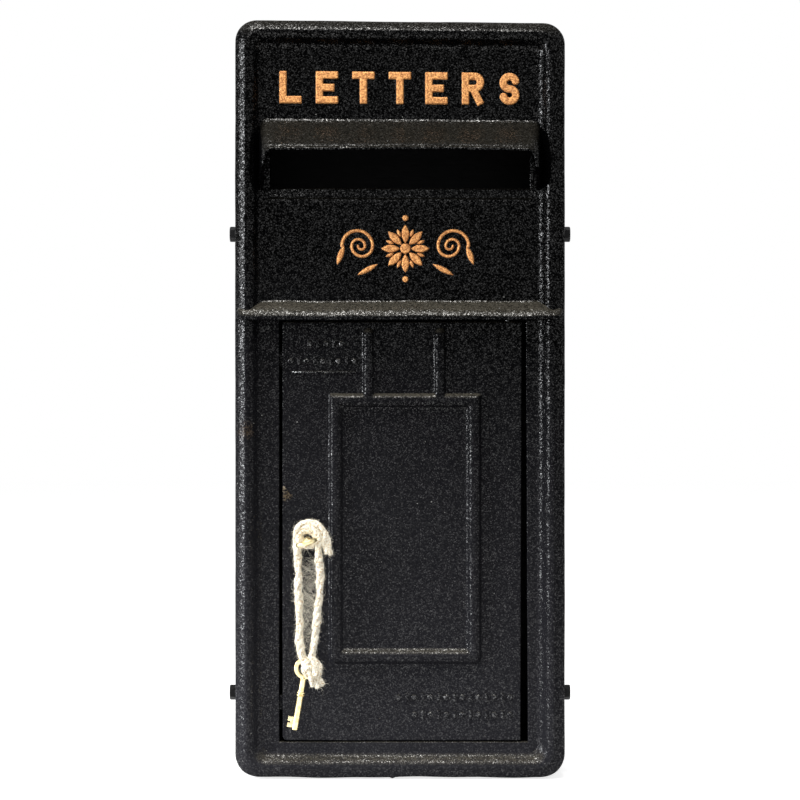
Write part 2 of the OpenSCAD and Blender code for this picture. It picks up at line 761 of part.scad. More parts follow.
module door() {
    rib_l = door_l + frame_l + rib_inset;
    rib_r = rib_l + rib_pitch;
    color([0.055, 0.055, 0.06]) difference() {
        union() {
            facing() {
                translate([door_l, door_b, -plate_t]) cube([door_r - door_l, door_t - door_b, plate_t]);
                notice_frame();
                intersection() {
                    for (x = [rib_l, rib_r]) door_rib(x);
                    translate([door_l, door_b, -plate_t / 2])
                        cube([door_r - door_l, door_t - door_b, plate_t + rib_w]);
                }
                bead_row(door_l + 2 * bead_in + 4 * bead_r, short_row_l, door_t - upper_rows);
                bead_row(door_l + bead_in, upper_row_l, door_t - upper_rows - row_step);
                translate([door_l + bead_in, door_t - upper_rows - 1.7 * row_step, -embed])
                    cube([upper_row_l, line_w, bead_rise + embed]);
                bead_row(door_r - bead_in - lower_row_l, lower_row_l, door_b + lower_rows + row_step);
                bead_row(door_r - bead_in - last_row_l, last_row_l, door_b + lower_rows);
            }
            for (z = [barrel_b, barrel_t - barrel_l])
                translate([hinge_x, hinge_y, z]) {
                    cylinder(r = barrel_r, h = barrel_l);
                    translate([-barrel_r, -hinge_back - embed, gap_b])
                        cube([2 * barrel_r, hinge_back + embed, barrel_l - gap_b - gap_t]);
                }
        }
        for (z = [barrel_b - cut, barrel_t - barrel_l - cut])
            translate([hinge_x, hinge_y, z]) cylinder(r = pin_r + pin_clear, h = barrel_l + 2 * cut);
        at_key(back_y + cut) keyhole(plate_t + 2 * cut);
        for (x = screw_xs, z = screw_zs)
            translate([x, back_y + cut, z]) rotate([90, 0, 0]) cylinder(r = screw_r, h = screw_in + cut);
    }
}

module lock_case() {
    color([0.60, 0.58, 0.52]) difference() {
        union() {
            box_from_to([case_l, back_y, case_b - flange_h], [case_r, back_y + lock_t, case_t + flange_h]);
            difference() {
                box_from_to([case_l, back_y, case_b], [case_r, case_back_y, case_t]);
                box_from_to([case_l + lock_t, back_y + lock_t, case_b + lock_t],
                    [case_r - lock_t, case_back_y + cut, case_t - lock_t]);
            }
            for (p = posts)
                translate([p[0], case_back_y, p[1]]) rotate([90, 0, 0]) cylinder(r = post_r, h = lock_d);
            translate([guide_x, latch_y + latch_t + latch_clear, guide_z]) rotate([90, 0, 0])
                cylinder(r = guide_r, h = latch_t + 2 * latch_clear + lock_t);
        }
        at_key(back_y + lock_t + cut) keyhole(lock_t + 2 * cut);
        box_from_to([case_l - cut, latch_y - latch_clear, latch_b_z - latch_clear],
            [case_l + lock_t + cut, latch_y + latch_t + latch_clear, latch_t_z + latch_clear]);
        for (x = screw_xs, z = screw_zs)
            translate([x, back_y + lock_t + cut, z]) rotate([90, 0, 0])
                cylinder(r = screw_r, h = lock_t + 2 * cut);
        for (p = posts)
            translate([p[0], case_back_y + cut, p[1]]) rotate([90, 0, 0])
                cylinder(r = cover_screw_r, h = cover_screw_in + cut);
    }
}

module lock_cover() {
    color([0.62, 0.60, 0.54]) difference() {
        box_from_to([case_l, case_back_y, case_b], [case_r, case_back_y + lock_t, case_t]);
        at_key(case_back_y + lock_t + cut) cylinder(r = shank_r + keyhole_clear, h = lock_t + 2 * cut);
        for (p = posts)
            translate([p[0], case_back_y + lock_t + cut, p[1]]) rotate([90, 0, 0])
                cylinder(r = cover_screw_r, h = lock_t + 2 * cut);
    }
}

// A round-headed screw, head seat at the origin, shank along -Z
module screw(r, l, head_r, head_h) {
    translate([0, 0, -l]) cylinder(r = r, h = l + head_h / 2);
    cylinder(r1 = head_r, r2 = 0.75 * head_r, h = head_h);
}

module lock_screws() {
    color([0.68, 0.67, 0.64])
        for (x = screw_xs, z = screw_zs)
            translate([x, back_y + lock_t, z]) rotate([-90, 0, 0])
                screw(screw_r, lock_t + screw_in, screw_head_r, screw_head_h);
}

module cover_screws() {
    color([0.68, 0.67, 0.64])
        for (p = posts)
            translate([p[0], case_back_y + lock_t, p[1]]) rotate([-90, 0, 0])
                screw(cover_screw_r, lock_t + cover_screw_in, 2 * cover_screw_r, 0.7 * screw_head_h);
}

module lock_bolt() {
    slot_r = guide_r + latch_clear;
    color([0.75, 0.62, 0.30]) difference() {
        box_from_to([latch_l, latch_y, latch_b_z], [latch_r, latch_y + latch_t, latch_t_z]);
        box_from_to([notch_l, latch_y - cut, latch_t_z - notch_d], [notch_r, latch_y + latch_t + cut, latch_t_z + cut]);
        for (x = [guide_x, guide_x + bolt_throw])
            translate([x, latch_y - cut, guide_z]) rotate([-90, 0, 0])
                cylinder(r = slot_r, h = latch_t + 2 * cut);
        box_from_to([guide_x, latch_y - cut, guide_z - slot_r],
            [guide_x + bolt_throw, latch_y + latch_t + cut, guide_z + slot_r]);
    }
}

module lock_spring() {
    x0 = case_l + lock_t;
    foot_z = latch_t_z + 0.15;
    leaf_line = [[x0, key_z + 3], [x0 + 3.2, key_z + 2], [x0 + 6.6, foot_z + 0.3], [x0 + 7.6, foot_z],
        [x0 + 8.6, foot_z + 0.3], [x0 + 10, foot_z + 1.2]];
    n = len(leaf_line);
    color([0.55, 0.56, 0.6]) translate([0, latch_y + latch_t, 0]) rotate([90, 0, 0])
        linear_extrude(latch_t - latch_clear) polygon(concat(leaf_line,
            [for (i = [n - 1:-1:0]) leaf_line[i] + [0, spring_t]]));
}

// A key along +Z with its tip at the origin, its bit towards +X and its bow across Y
module key_shape() {
    bow_foot = key_l - bow_r;
    color([0.80, 0.66, 0.36]) difference() {
        union() {
            cylinder(r = shank_r, h = bow_foot + (bow_r - bow_hole_r) / 2);
            translate([0, 0, key_l - collar_at - collar_l]) cylinder(r = collar_r, h = collar_l);
            translate([0, bow_t / 2, key_l]) rotate([90, 0, 0]) cylinder(r = bow_r, h = bow_t);
            translate([0, -bit_t / 2, key_nose]) cube([bit_r, bit_t, bit_l]);
        }
        translate([0, bow_r, key_l]) rotate([90, 0, 0]) cylinder(r = bow_hole_r, h = 2 * bow_r);
        translate([bit_r * 2 / 3, -bit_t, key_nose + bit_l * 0.4]) cube([bit_r, 2 * bit_t, bit_l * 0.2]);
    }
}

module key() {
    translate([key_x, key_tip_y, key_z]) rotate([0, -key_rest, 0]) rotate([90, 0, 0]) key_shape();
}

module spare_key() {
    translate(spare_tip) rotate([0, spare_lean, 0]) rotate([0, 0, 180]) key_shape();
}

// The bunch of twine round the key's neck, between its collar and its bow
module upper_knot() {
    y1 = bow_y + collar_at - twine_clear;
    y0 = bow_y + bow_r + twine_clear;
    color([0.90, 0.85, 0.72]) difference() {
        hull() {
            translate([key_x - 2, y1, key_z + 3]) rotate([90, 0, 0])
                cylinder(r = knot_r, h = y1 - y0, $fn = 24);
            translate([key_x + knot_r - 2, y1, key_z + 2]) rotate([90, 0, 0])
                cylinder(r = 0.8 * knot_r, h = y1 - y0, $fn = 24);
        }
        translate([key_x, y1 + cut, key_z]) rotate([90, 0, 0])
            cylinder(r = shank_r + twine_clear, h = y1 - y0 + 2 * cut);
    }
}

// A tube of radius r that follows the points of a route
module tube(route, r, sides = 8) {
    n = len(route);
    rings = [for (i = [0:n - 1])
        let (t = unit(route[min(i + 1, n - 1)] - route[max(i - 1, 0)]),
            a = unit(cross(t, [0, 1, 0])), b = cross(t, a))
        for (k = [0:sides - 1]) let (q = 360 * k / sides) route[i] + r * (cos(q) * a + sin(q) * b)];
    walls = [for (i = [0:n - 2], k = [0:sides - 1]) let (m = (k + 1) % sides)
        [i * sides + k, i * sides + m, (i + 1) * sides + m, (i + 1) * sides + k]];
    caps = [[for (k = [sides - 1:-1:0]) k], [for (k = [0:sides - 1]) (n - 1) * sides + k]];
    polyhedron(points = rings, faces = concat(walls, caps), convexity = 4);
}

module key_string_left() {
    color([0.92, 0.88, 0.76]) tube(strand_left, twine_d / 2);
}

module key_string_right() {
    color([0.92, 0.88, 0.76]) tube(strand_right, twine_d / 2);
}

// The knot that ties the spare key on, with the twine's cut end below it
module lower_knot() {
    c = strand_right[len(strand_right) - 1];
    color([0.90, 0.85, 0.72]) hull() {
        translate(c + [0, 0, -low_knot_r * 0.4]) sphere(r = 0.75 * low_knot_r, $fn = 20);
        translate(c + [1.5, 0, -low_knot_r * 1.1]) sphere(r = 0.8 * low_knot_r, $fn = 20);
        translate(c + [5, 0, -low_knot_r * 1.9]) sphere(r = 0.5 * low_knot_r, $fn = 20);
    }
}

front_casting();
box_shell();
back_plate();
side_bolts();
side_washers();
side_nuts();
upper_hinge_pin();
lower_hinge_pin();
door();
lock_case();
lock_cover();
lock_screws();
cover_screws();
lock_bolt();
lock_spring();
key();
upper_knot();
key_string_left();
key_string_right();
lower_knot();
spare_key();
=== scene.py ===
import math

import bmesh
import bpy
import numpy as np
from mathutils import Matrix, Vector, noise


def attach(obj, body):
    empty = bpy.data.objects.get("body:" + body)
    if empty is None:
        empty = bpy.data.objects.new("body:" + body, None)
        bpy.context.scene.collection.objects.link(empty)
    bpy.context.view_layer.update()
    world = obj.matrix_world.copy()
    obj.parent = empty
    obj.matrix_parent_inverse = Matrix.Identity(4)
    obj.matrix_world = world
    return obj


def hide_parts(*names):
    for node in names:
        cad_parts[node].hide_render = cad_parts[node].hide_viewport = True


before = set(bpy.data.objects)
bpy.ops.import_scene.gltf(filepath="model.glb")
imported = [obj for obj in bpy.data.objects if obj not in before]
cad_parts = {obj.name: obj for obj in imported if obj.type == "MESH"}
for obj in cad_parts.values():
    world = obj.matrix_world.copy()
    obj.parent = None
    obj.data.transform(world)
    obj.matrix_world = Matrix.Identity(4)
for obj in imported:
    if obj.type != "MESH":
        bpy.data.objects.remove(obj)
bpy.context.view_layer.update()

# ---- Camera: it stands square in front of the box at half its height, with a long lens, as the
# photograph was taken. At the face of the casting its frame is as wide as the photograph's.
face_y, back_y = -0.137, -0.132
lens, sensor, frame_w, eye_z = 100.0, 36.0, 0.6012, -0.00075
eye = bpy.data.cameras.new("front_camera")
eye.lens, eye.sensor_width = lens, sensor
camera = bpy.data.objects.new("front_camera", eye)
camera.location = (0.0, face_y - frame_w * lens / sensor, eye_z)
camera.rotation_euler = (math.pi / 2, 0.0, 0.0)
bpy.context.scene.collection.objects.link(camera)
bpy.context.scene.camera = camera

# ---- Twine: a loop of soft, fuzzy cotton twine that ties a spare key to the key in the lock. Two
# strands hang from a bunch round the key's neck down to a knot with a cut end, in the spare's bow.


def put(node, values):
    """Sets a node's inputs; a Wire is linked."""
    for key, value in values.items():
        if isinstance(value, Wire):
            value.tree.links.new(value.socket, node.inputs[key])
        else:
            node.inputs[key].default_value = value


class Wire:
    """A node's output. Arithmetic on it adds Math nodes, and wire["Z"] is its node's output Z."""

    def __init__(self, tree, socket):
        self.tree, self.socket = tree, socket

    def __getitem__(self, name):
        return Wire(self.tree, self.socket.node.outputs[name])

    def math(self, operation, *others, clamp=False):
        node = self.tree.nodes.new("ShaderNodeMath")
        node.operation, node.use_clamp = operation, clamp
        put(node, dict(enumerate((self, *others))))
        return Wire(self.tree, node.outputs[0])

    def __add__(self, other):
        return self.math("ADD", other)

    def __sub__(self, other):
        return self.math("SUBTRACT", other)

    def __rsub__(self, other):
        return self.math("MULTIPLY_ADD", -1.0, other)

    def __mul__(self, other):
        return self.math("MULTIPLY", other)

    def __truediv__(self, other):
        return self.math("DIVIDE", other)

    def __pow__(self, other):
        return self.math("POWER", other)

    def above(self, edge, soft):
        """0 below edge and 1 above it, over a soft step."""
        return (self - edge).math("MULTIPLY", 1.0 / soft, clamp=True)

    __radd__, __rmul__ = __add__, __mul__


class Nodes:
    """A node tree; add() puts in a node of any kind and gives one of its outputs."""

    def add(self, kind, values=None, out=0, **settings):
        node = self.tree.nodes.new(kind)
        for key, value in settings.items():
            setattr(node, key, value)
        put(node, values or {})
        return Wire(self.tree, node.outputs[out])


def rgba(colour):
    return colour if isinstance(colour, Wire) else (*colour, 1.0)


class Finish(Nodes):
    """One material."""

    def __init__(self, name):
        self.material = bpy.data.materials.new(name)
        self.material.use_nodes = True
        self.tree = self.material.node_tree
        self.shader = self.tree.nodes["Principled BSDF"]
        self.place = self.add("ShaderNodeTexCoord", out="Object")

    def noise(self, scale, detail=2.0, rough=0.5, squeeze=None):
        at = self.place
        if squeeze:
            at = self.add("ShaderNodeMapping", {"Vector": at, "Scale": squeeze})
        return self.add("ShaderNodeTexNoise",
                        {"Vector": at, "Scale": scale, "Detail": detail, "Roughness": rough})

    def mix(self, share, a, b):
        return self.add("ShaderNodeMix", {0: share, 6: rgba(a), 7: rgba(b)}, out=2,
                        data_type="RGBA")

    def bump(self, height, depth, under=None):
        values = {"Height": height, "Strength": 1.0, "Distance": depth}
        if under:
            values["Normal"] = under
        return self.add("ShaderNodeBump", values)

    def paint(self, **values):
        for key, value in values.items():
            name = key.replace("_", " ").title().replace("Ior", "IOR")
            put(self.shader, {name: rgba(value) if isinstance(value, tuple) else value})
        return self.material

    def cover(self, kind, values):
        """Shows the paint through another shader, which takes it in with values."""
        base = Wire(self.tree, self.shader.outputs[0])
        put(self.tree.nodes["Material Output"],
            {"Surface": self.add(kind, {key: value or base for key, value in values.items()})})
        return self.material


def shown(made):
    """Puts an object into the scene."""
    bpy.context.scene.collection.objects.link(made)
    return made


def part_of(made, body, node, slot):
    """Says which body a piece rides on and which CAD node it replaces; slot is not used."""
    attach(made, body)
    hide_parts(node)


def dress(material, *nodes):
    """Gives a material to CAD nodes that are shown as they are."""
    for node in nodes:
        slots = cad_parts[node].data.materials
        slots.clear()
        slots.append(material)


def settled(mesh, crease, merge=1e-6):
    """Merges doubles, turns the faces outwards and shades the mesh smooth up to a crease angle."""
    work = bmesh.new()
    work.from_mesh(mesh)
    bmesh.ops.remove_doubles(work, verts=work.verts, dist=merge)
    bmesh.ops.dissolve_degenerate(work, edges=work.edges, dist=merge)
    bmesh.ops.recalc_face_normals(work, faces=work.faces)
    work.to_mesh(mesh)
    work.free()
    mesh.shade_smooth()
    if crease is not None:
        mesh.set_sharp_from_angle(angle=math.radians(crease))
    return mesh


def shape(name, points, faces, crease=35):
    """A mesh object that isn't in the scene by itself."""
    mesh = bpy.data.meshes.new(name)
    mesh.from_pydata(np.asarray(points, float).tolist(), [], [list(map(int, f)) for f in faces])
    return bpy.data.objects.new(name, settled(mesh, crease))


def piece(name, points, faces, material, crease=None):
    made = shape(name, points, faces, crease)
    made.data.materials.append(material)
    return shown(made)


def bands(n, m, around=True, along=False):
    """Quads between m rows of n points; around closes each row, along joins the last to row one."""
    return [(i * n + j, i * n + (j + 1) % n, (i + 1) % m * n + (j + 1) % n, (i + 1) % m * n + j)
            for i in range(m if along else m - 1) for j in range(n if around else n - 1)]


def caps(n, m):
    """The two end faces of m rows of n points."""
    return [tuple(range(n))[::-1], tuple(range((m - 1) * n, m * n))]


def unit(rows):
    return rows / np.linalg.norm(rows, axis=1)[:, None]


def smooth_path(points, step):
    """Points every step along a smooth curve through the given ones, with their tangents."""
    p = np.asarray(points, float)
    ends = np.vstack([2 * p[0] - p[1], p, 2 * p[-1] - p[-2]])
    fine = []
    for a, b, c, d in zip(ends, ends[1:], ends[2:], ends[3:]):
        for t in np.linspace(0, 1, 24, endpoint=False):
            fine.append(0.5 * (2 * b + (c - a) * t + (2 * a - 5 * b + 4 * c - d) * t * t
                               + (3 * b - a - 3 * c + d) * t ** 3))
    fine = np.array(fine + [p[-1]])
    run = np.concatenate([[0], np.cumsum(np.linalg.norm(np.diff(fine, axis=0), axis=1))])
    at = np.linspace(0, run[-1], max(3, int(run[-1] / step)))
    line = np.stack([np.interp(at, run, fine[:, k]) for k in range(3)], 1)
    tangent = np.gradient(line, axis=0)
    return line, unit(tangent), at


def sweep(line, radius, sides):
    """A closed tube along a line; radius is one number or one for each of its points."""
    tangent = unit(np.gradient(line, axis=0))
    radius = np.broadcast_to(np.asarray(radius, float), len(line))
    side = np.cross(tangent[0], (0.31, 0.87, 0.38))
    rings = []
    for p, t, r in zip(line, tangent, radius):
        side = side - t * side.dot(t)
        side /= np.linalg.norm(side)
        up = np.cross(t, side)
        a = np.arange(sides) * 2 * math.pi / sides
        rings.append(p + r * (np.cos(a)[:, None] * side + np.sin(a)[:, None] * up))
    n = len(rings)
    points = np.vstack(rings + [line[:1] - tangent[:1] * radius[0] * 0.5,
                                line[-1:] + tangent[-1:] * radius[-1] * 0.5])
    faces = bands(sides, n)
    faces += [((j + 1) % sides, j, n * sides) for j in range(sides)]
    faces += [((n - 1) * sides + j, (n - 1) * sides + (j + 1) % sides, n * sides + 1)
              for j in range(sides)]
    return points, faces


def joined(parts):
    """Several lists of points and faces as one."""
    points, faces, start = [], [], 0
    for p, f in parts:
        points.append(np.asarray(p, float))
        faces += [tuple(i + start for i in face) for face in f]
        start += len(p)
    return np.vstack(points), faces


def yarn(points, width, lay, seed, plies=3):
    """Soft twine along a path: loosely laid plies, each uneven in its width."""
    line, tangent, at = smooth_path(points, 0.0007)
    side = unit(np.cross(tangent, (0.0, 1.0, 0.0)))
    up = np.cross(tangent, side)
    full = 1 + 0.10 * np.sin(at * 170 + seed) + 0.06 * np.sin(at * 410 + seed * 2)
    off = 0.185 * width * full
    parts = []
    for k in range(plies):
        turn = 2 * math.pi * (at / lay + k / plies) + 0.7 * np.sin(at * 150 + seed)
        ply = line + (off * np.cos(turn))[:, None] * side + (off * np.sin(turn))[:, None] * up
        thick = 0.295 * width * full * (1 + 0.12 * np.sin(at * 560 + seed * 3 + k * 2)
                                        + 0.08 * np.sin(at * 1500 + seed + k)
                                        + 0.06 * np.sin(at * 2900 + seed * 5 + k * 3))
        parts.append(sweep(ply, thick, 14))
    return joined(parts)


cotton = Finish("cotton_twine")
fibre = cotton.noise(1100, 3, 0.6, squeeze=(1.6, 1.6, 0.45))
mottle = cotton.noise(760, 3, 0.7)
stain = mottle.above(0.545, 0.05)
# Painted shade: the darker cream in the fibre pattern stands for shade between the fibres.
cotton_colour = cotton.mix(fibre.above(0.32, 0.26), (0.84, 0.73, 0.52), (1.0, 0.985, 0.90))
cotton_colour = cotton.mix(stain * 0.85, cotton_colour, (0.46, 0.27, 0.09))
cotton.paint(base_color=cotton_colour, roughness=0.92, specular_ior_level=0.15,
             normal=cotton.bump(fibre, 0.0007))


def millimetres(*points):
    return [tuple(v / 1000 for v in point) for point in points]


strand_left = millimetres(
    (-76, -153.5, -106), (-76.5, -153.5, -111), (-76.5, -153.5, -117), (-76.5, -153, -123),
    (-76, -153, -129), (-76.5, -153.5, -135), (-76.5, -153.5, -141), (-76, -153, -147),
    (-76, -153, -153), (-76, -153.5, -159), (-75.5, -153.5, -165), (-75.5, -153.5, -171),
    (-75.5, -153, -177), (-75, -153, -183), (-74, -153.5, -189), (-72, -154, -194),
    (-69.5, -154.5, -198.5))
strand_right = millimetres(
    (-61.5, -153.5, -105), (-61, -153.5, -110), (-60.5, -153.5, -116), (-60, -153, -122),
    (-59.5, -153, -128), (-59.5, -153.5, -134), (-59.5, -153.5, -140), (-60, -153, -146),
    (-60.5, -153, -152), (-61.5, -153.5, -158), (-62, -153.5, -164), (-62.5, -153.5, -170),
    (-63, -153, -176), (-64, -153, -182), (-65, -153, -188), (-66, -153.5, -194),
    (-66.5, -154.5, -199))
twine_width, drawn_in = 0.0064, 0.0009
bowed_left = [(x + drawn_in * math.sin(math.pi * i / 16), y, z)
              for i, (x, y, z) in enumerate(strand_left)]
left_strand = piece("twine_left_strand", *yarn(bowed_left, twine_width, 0.034, 1), cotton.material)
right_strand = piece("twine_right_strand", *yarn(strand_right, twine_width, 0.031, 4),
                     cotton.material)

key_x, key_z = -0.069, -0.1061


def laid(y, width, lay, seed, *points):
    """Twine through (x, z) points given in millimetres, at depth y with a little wander."""
    path = [(x / 1000, y + 0.0005 * math.sin(i * 1.9 + seed), z / 1000)
            for i, (x, z) in enumerate(points)]
    return yarn(path, width, lay, seed)


def coil(centre, radius, y0, y1, turns, start, width, seed):
    """A few turns of twine round an axis along Y, from y0 to y1."""
    n = int(turns * 14)
    points = []
    for i in range(n + 1):
        a = math.radians(start) + 2 * math.pi * turns * i / n
        r = radius * (1 + 0.10 * math.sin(2.3 * a) + 0.06 * math.sin(5.1 * a))
        points.append((centre[0] + r * math.cos(a), y0 + (y1 - y0) * i / n,
                       centre[1] + r * math.sin(a)))
    return yarn(points, width, 0.026, seed)


bunch = [coil((key_x + 0.0004, key_z + 0.0026), 0.0060, -0.1508, -0.1542, 2.2, 200, 0.0046, 2),
         laid(-0.1537, 0.0054, 0.030, 7, (-76.0, -112.0), (-77.3, -104.0), (-76.4, -97.2),
              (-72.0, -92.4), (-65.5, -91.8), (-59.4, -95.6), (-56.4, -102.0), (-55.6, -109.0),
              (-54.2, -115.0)),
         laid(-0.1545, 0.0050, 0.028, 9, (-73.6, -111.0), (-75.0, -103.5), (-73.2, -97.6),
              (-68.3, -95.2), (-63.0, -98.0), (-60.4, -103.6), (-60.6, -109.5)),
         laid(-0.1532, 0.0048, 0.026, 12, (-61.8, -94.6), (-57.0, -98.8), (-54.0, -105.0),
              (-52.8, -111.5), (-51.6, -115.6)),
         laid(-0.1540, 0.0046, 0.026, 14, (-76.9, -107.6), (-75.2, -101.0), (-69.6, -98.2),
              (-63.6, -101.0), (-61.8, -104.8))]
top_bunch = piece("twine_top_bunch", *joined(bunch), cotton.material)

knot = [laid(-0.1568, 0.0050, 0.026, 15, (-68.6, -194.5), (-70.6, -198.0), (-70.6, -203.0),
             (-67.4, -205.6), (-63.6, -203.6), (-62.6, -199.0), (-65.6, -195.4)),
        laid(-0.1556, 0.0052, 0.026, 18, (-66.4, -192.6), (-61.8, -196.0), (-60.0, -201.0),
             (-62.6, -205.8), (-67.2, -206.6)),
        laid(-0.1575, 0.0048, 0.028, 21, (-68.6, -199.8), (-67.0, -204.4), (-65.4, -208.8),
             (-64.6, -213.2)),
        laid(-0.1562, 0.0050, 0.028, 24, (-66.0, -201.0), (-64.4, -205.8), (-62.4, -210.4),
             (-60.8, -214.2)),
        laid(-0.1552, 0.0048, 0.028, 27, (-64.0, -200.0), (-62.4, -204.8), (-59.6, -209.2),
             (-57.0, -212.4)),
        laid(-0.1590, 0.0046, 0.026, 30, (-69.6, -201.2), (-67.2, -198.6), (-63.4, -200.6),
             (-62.2, -205.2))]
low_knot = piece("twine_low_knot", *joined(knot), cotton.material)

# ---- Fuzz: the loose cotton hairs that stand off the twine on every side. They are scattered on
# the twine's own surface, short ones all over it and a few long ones, each a fine tapered curl.


def one_hair(length, curl):
    along = np.linspace(0, 1, 5)
    line = np.stack([curl * along ** 2, 0.35 * curl * np.sin(along * 4.0), length * along], 1)
    return sweep(line, 0.00007 * (1.12 - along), 3)


class Recipe(Nodes):
    """A Geometry Nodes tree with named inputs; settle() runs it on an object and keeps the mesh."""

    def __init__(self, name, inputs):
        self.tree = bpy.data.node_groups.new(name, "GeometryNodeTree")
        face = self.tree.interface
        face.new_socket(name="Geometry", in_out="INPUT", socket_type="NodeSocketGeometry")
        self.inputs = {key: face.new_socket(name=key, in_out="INPUT",
                                            socket_type="NodeSocket" + kind)
                       for key, kind in {**inputs, "Material": "Material"}.items()}
        face.new_socket(name="Geometry", in_out="OUTPUT", socket_type="NodeSocketGeometry")
        self.start = self.tree.nodes.new("NodeGroupInput")

    def given(self, name):
        return Wire(self.tree, self.start.outputs[name])

    def copies(self, points, name, **more):
        """The object given by an input, copied to each point."""
        one = self.add("GeometryNodeObjectInfo", {"Object": self.given(name)}, out="Geometry")
        return self.add("GeometryNodeInstanceOnPoints", {"Points": points, "Instance": one, **more})

    def end(self, geometry):
        whole = self.add("GeometryNodeRealizeInstances", {"Geometry": geometry})
        coated = self.add("GeometryNodeSetMaterial",
                          {"Geometry": whole, "Material": self.given("Material")})
        put(self.tree.nodes.new("NodeGroupOutput"), {"Geometry": coated})

    def settle(self, name, source, **values):
        """The tree's result on the source object, as a plain mesh object."""
        modifier = source.modifiers.new(self.tree.name, "NODES")
        modifier.node_group = self.tree
        for key, value in values.items():
            modifier[self.inputs[key.replace("_", " ")].identifier] = value
        graph = bpy.context.evaluated_depsgraph_get()
        mesh = bpy.data.meshes.new_from_object(source.evaluated_get(graph))
        source.modifiers.remove(modifier)
        mesh.shade_smooth()
        return shown(bpy.data.objects.new(name, mesh))


fuzz = Recipe("fuzz", {"Hair": "Object", "Density": "Float", "Seed": "Int", "Smallest": "Float",
                       "Largest": "Float"})
seed = fuzz.given("Seed")
spots = fuzz.add("GeometryNodeDistributePointsOnFaces",
                 {"Mesh": fuzz.given("Geometry"), "Density": fuzz.given("Density"), "Seed": seed},
                 distribute_method="RANDOM")
lean = fuzz.add("FunctionNodeRandomValue",
                {0: (-1.1, -1.1, -3.1), 1: (1.1, 1.1, 3.1), "Seed": seed}, data_type="FLOAT_VECTOR")
turned_hair = fuzz.add("FunctionNodeRotateRotation", {
    "Rotation": spots["Rotation"], "Rotate By": fuzz.add("FunctionNodeEulerToRotation", {0: lean})},
    rotation_space="LOCAL")
size = fuzz.add("FunctionNodeRandomValue",
                {2: fuzz.given("Smallest"), 3: fuzz.given("Largest"), "Seed": seed}, out=1,
                data_type="FLOAT")
fuzz.end(fuzz.copies(spots, "Hair", Rotation=turned_hair, Scale=size))

loose = Finish("loose_cotton").paint(base_color=(0.95, 0.90, 0.77), roughness=0.9,
                                     specular_ior_level=0.1)
# (kind, hair, hairs a square metre)
hairs = (("short", shape("short_hair", *one_hair(0.0026, 0.0012)), 700000.0),
         ("long", shape("long_hair", *one_hair(0.0062, 0.0034)), 30000.0))
tufts = [(source, *hair) for source in (left_strand, right_strand, top_bunch, low_knot)
         for hair in hairs]
for number, (source, kind, hair, density) in enumerate(tufts, 3):
    tuft = fuzz.settle(f"{source.name}_{kind}_fuzz", source, Hair=hair, Density=density,
                       Seed=number, Smallest=0.3, Largest=0.95, Material=loose)
    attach(tuft, "door")

rng = np.random.default_rng(7)
haze_fibres, haze_drop, haze_length, fibre_r = 250, 0.0155, 0.068, 0.000042
threads = []
for i in range(haze_fibres):
    t = rng.beta(1.2, 1.5)
    z = strand_left[0][2] - haze_drop - haze_length * t
    ends = []
    for strand, sign in ((strand_left, 1), (strand_right, -1)):
        p = np.array(strand)
        ends.append(np.array([np.interp(-z, -p[:, 2], p[:, 0]) + sign * 0.0012,
                              np.interp(-z, -p[:, 2], p[:, 1]) + rng.normal(0, 0.0012),
                              z + rng.normal(0, 0.0085)]))
    u = np.linspace(0, rng.uniform(0.45, 1.0), 7)[:, None]
    if rng.random() < 0.5:
        ends.reverse()
    thread = ends[0] * (1 - u) + ends[1] * u
    sag = np.array([0, rng.normal(0, 0.0014), rng.normal(0, 0.0045)])
    thread = thread + np.sin(u * math.pi) * sag \
        + np.sin(u * rng.uniform(4, 9)) * rng.normal(0, 0.0006, 3)
    threads.append(sweep(thread, fibre_r, 3))
haze = piece("twine_fibre_haze", *joined(threads), loose)
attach(haze, "door")

# ---- Keys: two old brass lever keys, cast and filed, one standing in the lock and its spare on the
# twine. Each has a flat ring for a bow, a turned collar, a round shank and a bit with one ward cut.


def turned(profile, sides=32, bored=False):
    """A solid turned about Z from (radius, height) points, bottom first; bored leaves it open."""
    a = np.arange(sides) * 2 * math.pi / sides
    points = np.vstack([np.stack([r * np.cos(a), r * np.sin(a), np.full(sides, z)], 1)
                        for r, z in profile])
    n = len(profile)
    return points, bands(sides, n, along=True) if bored else bands(sides, n) + caps(sides, n)


def bar(outline, y0, y1, soft):
    """A flat plate with the given (x, z) outline, from y0 to y1, its edges eased by soft."""
    o = np.asarray(outline, float)
    ahead, behind = np.roll(o, -1, 0) - o, o - np.roll(o, 1, 0)
    normal = unit(np.stack([ahead[:, 1] + behind[:, 1], -ahead[:, 0] - behind[:, 0]], 1))
    rows = [(y0, soft), (y0 + 0.3 * soft, 0.3 * soft), (y0 + soft, 0.0),
            (y1 - soft, 0.0), (y1 - 0.3 * soft, 0.3 * soft), (y1, soft)]
    points = np.vstack([np.insert(o - normal * inset, 1, y, axis=1) for y, inset in rows])
    return points, bands(len(o), len(rows)) + caps(len(o), len(rows))


def block(x0, x1, y0, y1, z0, z1, soft):
    return bar([(x0, z0), (x1, z0), (x1, z1), (x0, z1)], y0, y1, soft)


def ring(outer, hole, thick, flat, segments=56):
    """A flat ring standing across Y, its section a rounded oblong."""
    middle, half = (outer + hole) / 2, (outer - hole) / 2
    section = [(half * math.copysign(abs(math.cos(a)) ** flat, math.cos(a)),
                thick / 2 * math.copysign(abs(math.sin(a)) ** flat, math.sin(a)))
               for a in np.arange(16) * math.pi / 8]
    points = [((middle + u) * math.cos(t), v, (middle + u) * math.sin(t))
              for t in np.arange(segments) * 2 * math.pi / segments for u, v in section]
    return np.array(points), bands(len(section), segments, along=True)


